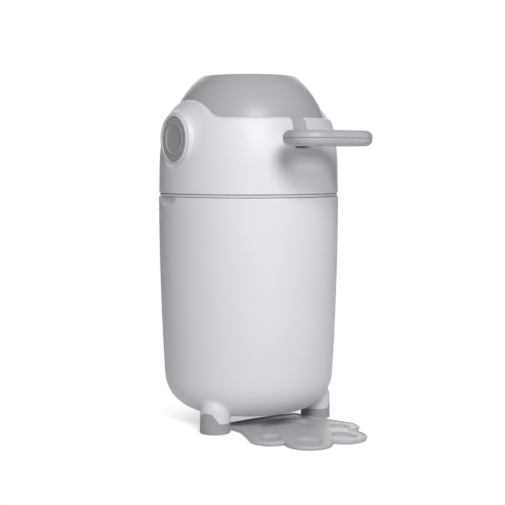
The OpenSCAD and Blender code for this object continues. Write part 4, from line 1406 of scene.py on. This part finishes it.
@dataclass
class Drum:
    """The upper shell of the grey ball drum. Sizes in millimetres."""

    ball: float = 113.5
    half: float = 91.37
    mouth_r: float = 67.3
    lip_r: float = 57.5
    tube_half: float = 85.97
    tube_out: float = 62.4
    wall: float = 3.0
    seat_h: float = 8.0
    place: Place = Place("drum", "drum_grey", ("drum_upper_shell",))

    def build(self) -> None:
        """Turn the shell with its rounded mouth and the seat of the chamber tube."""
        rise = math.degrees(math.asin(self.half / self.ball))
        inner_top = self.half - self.wall
        inner_rise = math.degrees(math.asin(inner_top / (self.ball - self.wall)))
        outside = arc((0, 0), self.ball, 0, rise - 0.8, 60)
        mouth = rounded([outside[-1], (self.mouth_r - 0.4, self.half), (self.lip_r + 2, self.half),
                         (self.lip_r, self.half - 2.4), (self.lip_r, self.tube_half)],
                        [0, 1.6, 1.6, 1.4, 0], 6)
        seat_r, seat_z = self.tube_out + 0.2, self.tube_half - self.seat_h
        inside = [(seat_r, self.tube_half), (seat_r, seat_z), (seat_r + 2, seat_z), (seat_r + 2, inner_top)]
        inside += arc((0, 0), self.ball - self.wall, inner_rise, 0, 40)
        shell = turn_outline("drum_upper_shell_moulded", outside + mouth[1:] + inside, AXIS.pivot, "Z", 200,
                             closed=True)
        smooth(shell, 30)
        self.place.settle(shell)


# ---- pivots ----

@dataclass
class PivotCap:
    """A mid grey cap with a raised ring, a groove and a shallow dish. Sizes in millimetres."""

    side: int
    radius: float = 31.3
    face: float = 129.2
    seat: float = 121.5
    dish_r: float = 20.6
    dish: float = 1.5
    thick: float = 3.1

    def build(self) -> None:
        """Turn the cap."""
        name = "left" if self.side < 0 else "right"
        bead, top, under = self.dish_r + 0.6, self.face, self.face - self.thick
        line = [(0, top - self.dish), (bead - 1.7, top - self.dish), (bead - 0.7, top - 0.05),
                (bead + 0.5, top - 0.02), (bead + 1.5, top - 0.85), (self.radius - 1.8, top - 0.5),
                (self.radius, top - 2.1), (self.radius, self.seat), (self.radius - 2, self.seat),
                (self.radius - 2, under), (0, under)]
        outline = rounded(line, [0, 0.7, 0.5, 0.5, 0.6, 1.2, 1.2, 0.2, 0, 0, 0], steps=5)
        along = "-X" if self.side < 0 else "X"
        cap = turn_outline(f"pivot_cap_{name}_moulded", outline, AXIS.pivot, along, steps=144)
        smooth(cap, 30)
        Place("head", "trim_grey", (f"pivot_cap_{name}",)).settle(cap)


# ---- handle ----

@dataclass(frozen=True)
class HandleHalf:
    """Half of the hollow loop handle, parted at mid-height, with its half of the stem. Sizes in millimetres.

    Attributes:
        side: 1 for the upper half, -1 for the lower one.
        groove: depth of the parting groove and its height in each half.
        pocket: half width and half height of the pocket for the drum's tongue.
        posts: places of the loop's screw posts, across and in front of the body's axis.
        stem_screws: places of the stem's two screws in front of the body's axis.
    """

    side: int
    near: float = 146.0
    depth: float = 76.0
    width: float = 130.0
    bar: Point = (20.0, 21.0)
    bar_round: float = 9.2
    corner: float = 36.0
    wall: float = 2.6
    groove: Point = (1.0, 0.5)
    stem: Point = (18.0, 17.0)
    stem_round: float = 6.0
    stem_near: float = 114.7
    stem_end: float = 152.0
    pocket: Point = (6.4, 5.9)
    tongue: float = 14.0
    post_r: float = 4.1
    pilot_r: float = 1.55
    clear_r: float = 1.8
    head_r: float = 3.3
    head_h: float = 1.6
    posts: tuple[Point, ...] = ((-37.0, 212.0), (37.0, 212.0))
    stem_screws: tuple[float, float] = (130.35, 154.0)
    corner_steps: int = 28
    side_steps: int = 8

    def _skin(self, size: Point, turn: float) -> list[Point]:
        """Return the outside of a half section, from the parting groove over the top to the groove again.

        Args:
            size: the whole section's width and height.
            turn: radius of its rounding.
        """
        half, top = size[0] / 2, size[1] / 2
        deep, line = self.groove
        right = [(half - deep, 0.0), (half - 0.2, line - 0.12), (half, line + 0.1)]
        right += arc((half - turn, top - turn), turn, 0, 90, 14)
        return right + [(-x, z) for x, z in reversed(right)]

    def _stations(self) -> list[tuple[float, float, float]]:
        """Return the loop's path as places and outward angles, closed."""
        turn = self.corner - self.bar[0] / 2
        run_x = self.width / 2 - self.corner
        run_y = self.depth / 2 - self.corner
        path = []
        for k, (side_x, side_y) in enumerate(((1, 1), (-1, 1), (-1, -1), (1, -1))):
            for i in range(self.corner_steps + 1):
                angle = math.pi / 2 * (k + i / self.corner_steps)
                x, y = side_x * run_x + turn * math.cos(angle), side_y * run_y + turn * math.sin(angle)
                path.append((x, y, angle))
            if k in (0, 2):
                path += [(x - side_x * run_x * (2 * j / self.side_steps), y, angle)
                         for j in range(1, self.side_steps)]
        return path + [path[0]]

    def _loop(self) -> Mesh:
        """Return the loop's half as one closed hollow sheet."""
        outer = self._skin(self.bar, self.bar_round)
        half, top = self.bar[0] / 2 - self.wall, self.bar[1] / 2 - self.wall
        turn = self.bar_round - self.wall
        inner = [(-half, 0.0)] + [(-x, z) for x, z in arc((half - turn, top - turn), turn, 0, 90, 6)]
        inner += [(-x, z) for x, z in reversed(inner)]
        line = np.array(outer + inner + outer[:1])
        path = np.array(self._stations())

        def shape(u: Array, v: Array) -> Array:
            """Return points at places along the loop and round its section."""
            x, y, angle = path[row_of(u, len(path))].T
            out, z = line[row_of(v, len(line))].T
            middle = AXIS.y - self.near - self.depth / 2
            return np.column_stack([x + out * np.cos(angle), middle + y + out * np.sin(angle),
                                    AXIS.pivot_z + self.side * z]) * MM

        return sheet_of("handle_loop", len(path) - 1, len(line) - 1, shape)

    def _stem(self) -> Mesh:
        """Return the stem's half with the pocket for the drum's tongue."""
        skin = self._skin(self.stem, self.stem_round)
        wide, high = self.pocket
        line = skin + [(-wide, 0.0), (-wide, high), (wide, high), (wide, 0.0)]
        corners = [(x * MM, (AXIS.y - self.stem_near) * MM, (AXIS.pivot_z + self.side * z) * MM)
                   for x, z in line]
        return prism("handle_stem", corners, (0, (self.stem_near - self.stem_end) * MM, 0))

    def _post(self, x: float, reach: float, low: float, high: float, bore: float) -> Mesh:
        """Return one screw post.

        Args:
            x: its place across.
            reach: its distance in front of the body's axis.
            low: height of its end nearest the parting plane, measured from that plane.
            high: height of its root.
            bore: radius of its bore.
        """
        near, far = self.side * low, self.side * high
        line = [(bore, near), (self.post_r, near), (self.post_r, far), (bore, far)]
        place = (x * MM, (AXIS.y - reach) * MM, AXIS.pivot_z * MM)
        return turn_outline("handle_post", line, place, steps=32, closed=True)

    def _drill(self, piece: Mesh, x: float, reach: float, face: float) -> None:
        """Cut a screw's hole and the seat of its head from below.

        Args:
            piece: the object to cut.
            x: the hole's place across.
            reach: its distance in front of the body's axis.
            face: height of the half section there.
        """
        start = -face - 2
        for radius, end in ((self.clear_r, -face + 4), (self.head_r, -face + self.head_h)):
            middle = (x, AXIS.y - reach, AXIS.pivot_z + (start + end) / 2)
            drill(piece, middle, radius, depth=end - start, vertices=48)

    def build(self) -> None:
        """Build the loop, the stem and the posts, and join them."""
        name = "handle_upper_shell" if self.side > 0 else "handle_lower_shell"
        loop, stem = self._loop(), self._stem()
        clear_selection()
        bpy.ops.mesh.primitive_cube_add(size=1, location=(0, (AXIS.y - self.near) * MM, AXIS.pivot_z * MM))
        tongue = bpy.context.object
        tongue.scale = (2 * self.pocket[0] * MM, self.tongue * MM, 2 * self.pocket[1] * MM)
        cut(loop, tongue)
        roof = self.bar[1] / 2 - self.wall + 0.3
        bore = self.pilot_r if self.side > 0 else self.clear_r
        posts = [self._post(x, reach, 0.0, roof, bore) for x, reach in self.posts]
        if self.side < 0:
            for x, reach in (*self.posts, (0.0, self.stem_screws[1])):
                self._drill(loop, x, reach, self.bar[1] / 2)
            self._drill(stem, 0.0, self.stem_screws[0], self.stem[1] / 2)
            posts.append(self._post(0.0, self.stem_screws[1], self.pocket[1] + 0.1, roof, self.clear_r))
        for piece in (loop, stem, *posts):
            smooth(piece, 34)
            weigh_normals(piece)
        Place("drum", "drum_grey", (name,)).settle(join([loop, stem, *posts], f"{name}_moulded"))


# ---- rings ----

@dataclass(frozen=True)
class TurnedRing:
    """A ring that is turned from one outline round the body's axis. Sizes in millimetres.

    Attributes:
        node: the CAD node that it stands for.
        body: the CAD body that it moves with.
        slot: the record's material slot.
        outline: pairs of radius and height.
        turns: how far each corner is rounded.
        hole_ring: radius of the circle on which six screw holes lie, or 0 where there are none.
        hole_r: radius of a hole.
    """

    node: str
    body: str
    slot: str
    outline: tuple[Point, ...]
    turns: tuple[float, ...]
    hole_ring: float = 0.0
    hole_r: float = 1.8

    def build(self) -> None:
        """Turn the ring and drill its holes."""
        line = rounded(self.outline, self.turns, 4)
        ring = turn_outline(f"{self.node}_moulded", line, AXIS.foot, "Z", 240, closed=True)
        for turn in np.radians(range(30, 360, 60)) if self.hole_ring else ():
            place = (self.hole_ring * math.sin(turn), AXIS.y - self.hole_ring * math.cos(turn),
                     self.outline[0][1])
            drill(ring, place, self.hole_r, depth=12, vertices=32)
        smooth(ring)
        weigh_normals(ring)
        Place(self.body, self.slot, (self.node,)).settle(ring)


RINGS = (
    TurnedRing(
        "bag_ring", "ring", "body_white",
        ((120.0, 320.0), (120.0, 335.7), (129.6, 335.7), (129.6, 334.0), (128.8, 333.0), (127.6, 332.3),
         (122.4, 332.3), (122.4, 312.0), (120.0, 312.0)),
        (0.0, 0.5, 0.5, 0.3, 0.3, 0.3, 0.5, 0.8, 0.4)),
    TurnedRing(
        "head_base", "head", "inner_white",
        ((105.0, 336.0), (116.6, 336.0), (116.6, 322.0), (119.4, 322.0), (119.4, 336.0), (127.4, 336.0),
         (127.4, 339.0), (99.44, 339.0), (99.44, 348.0), (97.04, 348.0), (97.04, 339.0), (93.04, 339.0),
         (93.04, 336.0)),
        (0.0, 0.5, 0.4, 1.0, 0.5, 0.4, 0.4, 0.3, 0.4, 0.4, 0.3, 0.4, 0.4), 110.0))


# ---- pieces that keep the CAD form ----

@dataclass(frozen=True)
class Carried:
    """CAD nodes whose form is right: each gets a smooth copy in its place."""

    skip: tuple[str, ...]

    def build(self, frame: dict) -> None:
        """Copy every node that no other piece stands for.
        """
        carried = frame["record"]["behaviour"]["bodies"]
        bodies = {node: body for body, nodes in carried.items() for node in nodes}
        for part in frame["record"]["subparts"]:
            node = part["node"]
            if node in self.skip:
                continue
            clear_selection()
            copy = frame["nodes"][node].copy()
            copy.data = copy.data.copy()
            for key in list(copy.keys()):
                del copy[key]
            copy.parent = None
            copy.name = f"{node}_moulded"
            bpy.context.scene.collection.objects.link(copy)
            pick(copy)
            bpy.ops.object.mode_set(mode="EDIT")
            end_mesh(merge=0.001, outwards=False)
            smooth(copy, 28)
            Place(bodies[node], part["material_slot"], (node,)).settle(copy)


# ---- studio ----

@dataclass
class Studio:
    """The pale floor, the lamps, the world and the camera. Sizes in metres, angles in degrees.

    Attributes:
        camera_turn: direction of its view, from +Y towards +X.
        camera_pitch: how far it looks down.
        floor_lift: light of its own that the camera sees in the floor, so that it shows white.
        shadow_middle: the point round which the floor keeps the shadow.
        shadow_fade: distances from that point between which the shadow fades out.
    """

    camera_place: tuple[float, float, float] = (-1.0035, -1.3771, 0.386)
    camera_turn: float = 35.39
    camera_pitch: float = 4.53
    lens: float = 84.55
    sensor: float = 36.0
    floor_size: float = 12.0
    floor_colour: str = "#f4f4f5"
    floor_lift: float = 0.5
    shadow_middle: tuple[float, float, float] = (0.0, -0.05, 0.0)
    shadow_fade: Point = (0.125, 0.27)
    room_light: float = 0.16
    white: Colour = (1.0, 1.0, 1.0, 1.0)

    def build(self) -> None:
        """Build the whole studio."""
        self._floor()
        self._world()
        self._lamps()
        self._camera()

    def _floor(self) -> None:
        """Lay a plain pale floor that shows white and keeps the object's shadow."""
        bpy.ops.mesh.primitive_plane_add(size=self.floor_size, location=(0, 0, 0))
        floor = bpy.context.object
        floor.name = "floor"
        material = bpy.data.materials.new("studio_floor_paint")
        tree = empty_tree(material)
        paint = add_node(tree, "BsdfDiffuse", inputs={"Color": linear(self.floor_colour)})
        lift = add_node(tree, "Emission", inputs={"Color": self.white, "Strength": self.floor_lift})
        near = add_node(tree, "AddShader", {0: paint.outputs["BSDF"], 1: lift.outputs["Emission"]})
        far = add_node(tree, "Emission", inputs={"Color": self.white, "Strength": 1.0})
        place = add_node(tree, "TexCoord").outputs["Object"]
        moved = add_node(tree, "VectorMath", {0: place}, {1: self.shadow_middle}, operation="SUBTRACT")
        away = add_node(tree, "VectorMath", {0: moved.outputs["Vector"]}, operation="LENGTH").outputs["Value"]
        start, end = self.shadow_fade
        fade = add_node(tree, "MapRange", {"Value": away}, {"From Min": start, "From Max": end},
                        interpolation_type="SMOOTHSTEP").outputs["Result"]
        shown = add_node(tree, "MixShader", {0: fade, 1: near.outputs["Shader"], 2: far.outputs["Emission"]})
        seen = add_node(tree, "LightPath").outputs["Is Camera Ray"]
        both = add_node(tree, "MixShader", {0: seen, 1: paint.outputs["BSDF"], 2: shown.outputs["Shader"]})
        add_node(tree, "OutputMaterial", {"Surface": both.outputs["Shader"]})
        floor.data.materials.append(material)

    def _world(self) -> None:
        """Light the room softly, and show the camera a white room."""
        world = bpy.data.worlds.new("studio_room")
        tree = empty_tree(world)
        seen = add_node(tree, "LightPath").outputs["Is Camera Ray"]
        room = add_node(tree, "Background", inputs={"Color": self.white, "Strength": self.room_light})
        white = add_node(tree, "Background", inputs={"Color": self.white, "Strength": 1.0})
        both = add_node(tree, "MixShader",
                        {0: seen, 1: room.outputs["Background"], 2: white.outputs["Background"]})
        add_node(tree, "OutputWorld", {"Surface": both.outputs["Shader"]})
        bpy.context.scene.world = world

    def _lamps(self) -> None:
        """Hang a soft box near the camera, and a weaker one behind the bin."""
        self._soft_box("front_soft_box", place=(-0.84, -1.9, 1.6), aim=(0, 0, 0.25), size=0.9, power=42)
        self._soft_box("rear_soft_box", place=(0.9, 1.4, 0.8), aim=(0, 0, 0.2), size=1.4, power=13)

    def _soft_box(self, name: str, place: Sequence[float], aim: Sequence[float], size: float,
                  power: float) -> None:
        """Add one square area lamp.

        Args:
            name: the lamp's name.
            place: where it hangs, in metres.
            aim: the point it faces.
            size: length of its side in metres.
            power: its power in watts.
        """
        lamp = bpy.data.lights.new(name, "AREA")
        lamp.size = size
        lamp.energy = power
        holder = bpy.data.objects.new(name, lamp)
        bpy.context.scene.collection.objects.link(holder)
        holder.location = place
        holder.rotation_euler = (Vector(aim) - Vector(place)).to_track_quat("-Z", "Y").to_euler()
        holder.visible_camera = False

    def _camera(self) -> None:
        """Place the camera at the photograph's viewing angle."""
        camera = bpy.data.cameras.new("photo_camera")
        camera.lens = self.lens
        camera.sensor_width = self.sensor
        holder = bpy.data.objects.new("photo_camera", camera)
        bpy.context.scene.collection.objects.link(holder)
        holder.location = self.camera_place
        holder.rotation_euler = (math.radians(90 - self.camera_pitch), 0, math.radians(-self.camera_turn))
        bpy.context.scene.camera = holder


def main() -> None:
    """Load the frame, dress it, build the pieces and the studio."""
    logging.basicConfig(level=logging.INFO, format="%(name)s: %(message)s")
    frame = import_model()
    bpy.context.scene.view_settings.view_transform = "Standard"
    dress_frame(frame)
    BodyShell().build()
    for foot in FEET:
        FootCap(foot).build()
    FootPlate().build()
    HeadShell().build()
    Drum().build()
    for side in (-1, 1):
        PivotCap(side).build()
        HandleHalf(side).build()
    for ring in RINGS:
        ring.build()
    own = ["body_shell", "foot_plate", "head_shell", "drum_upper_shell", "pivot_cap_left", "pivot_cap_right",
           "handle_upper_shell", "handle_lower_shell", *(ring.node for ring in RINGS),
           *(f"{foot.name}_foot_cap" for foot in FEET)]
    Carried(skip=tuple(own)).build(frame)
    Studio().build()


if __name__ == "__main__":
    main()
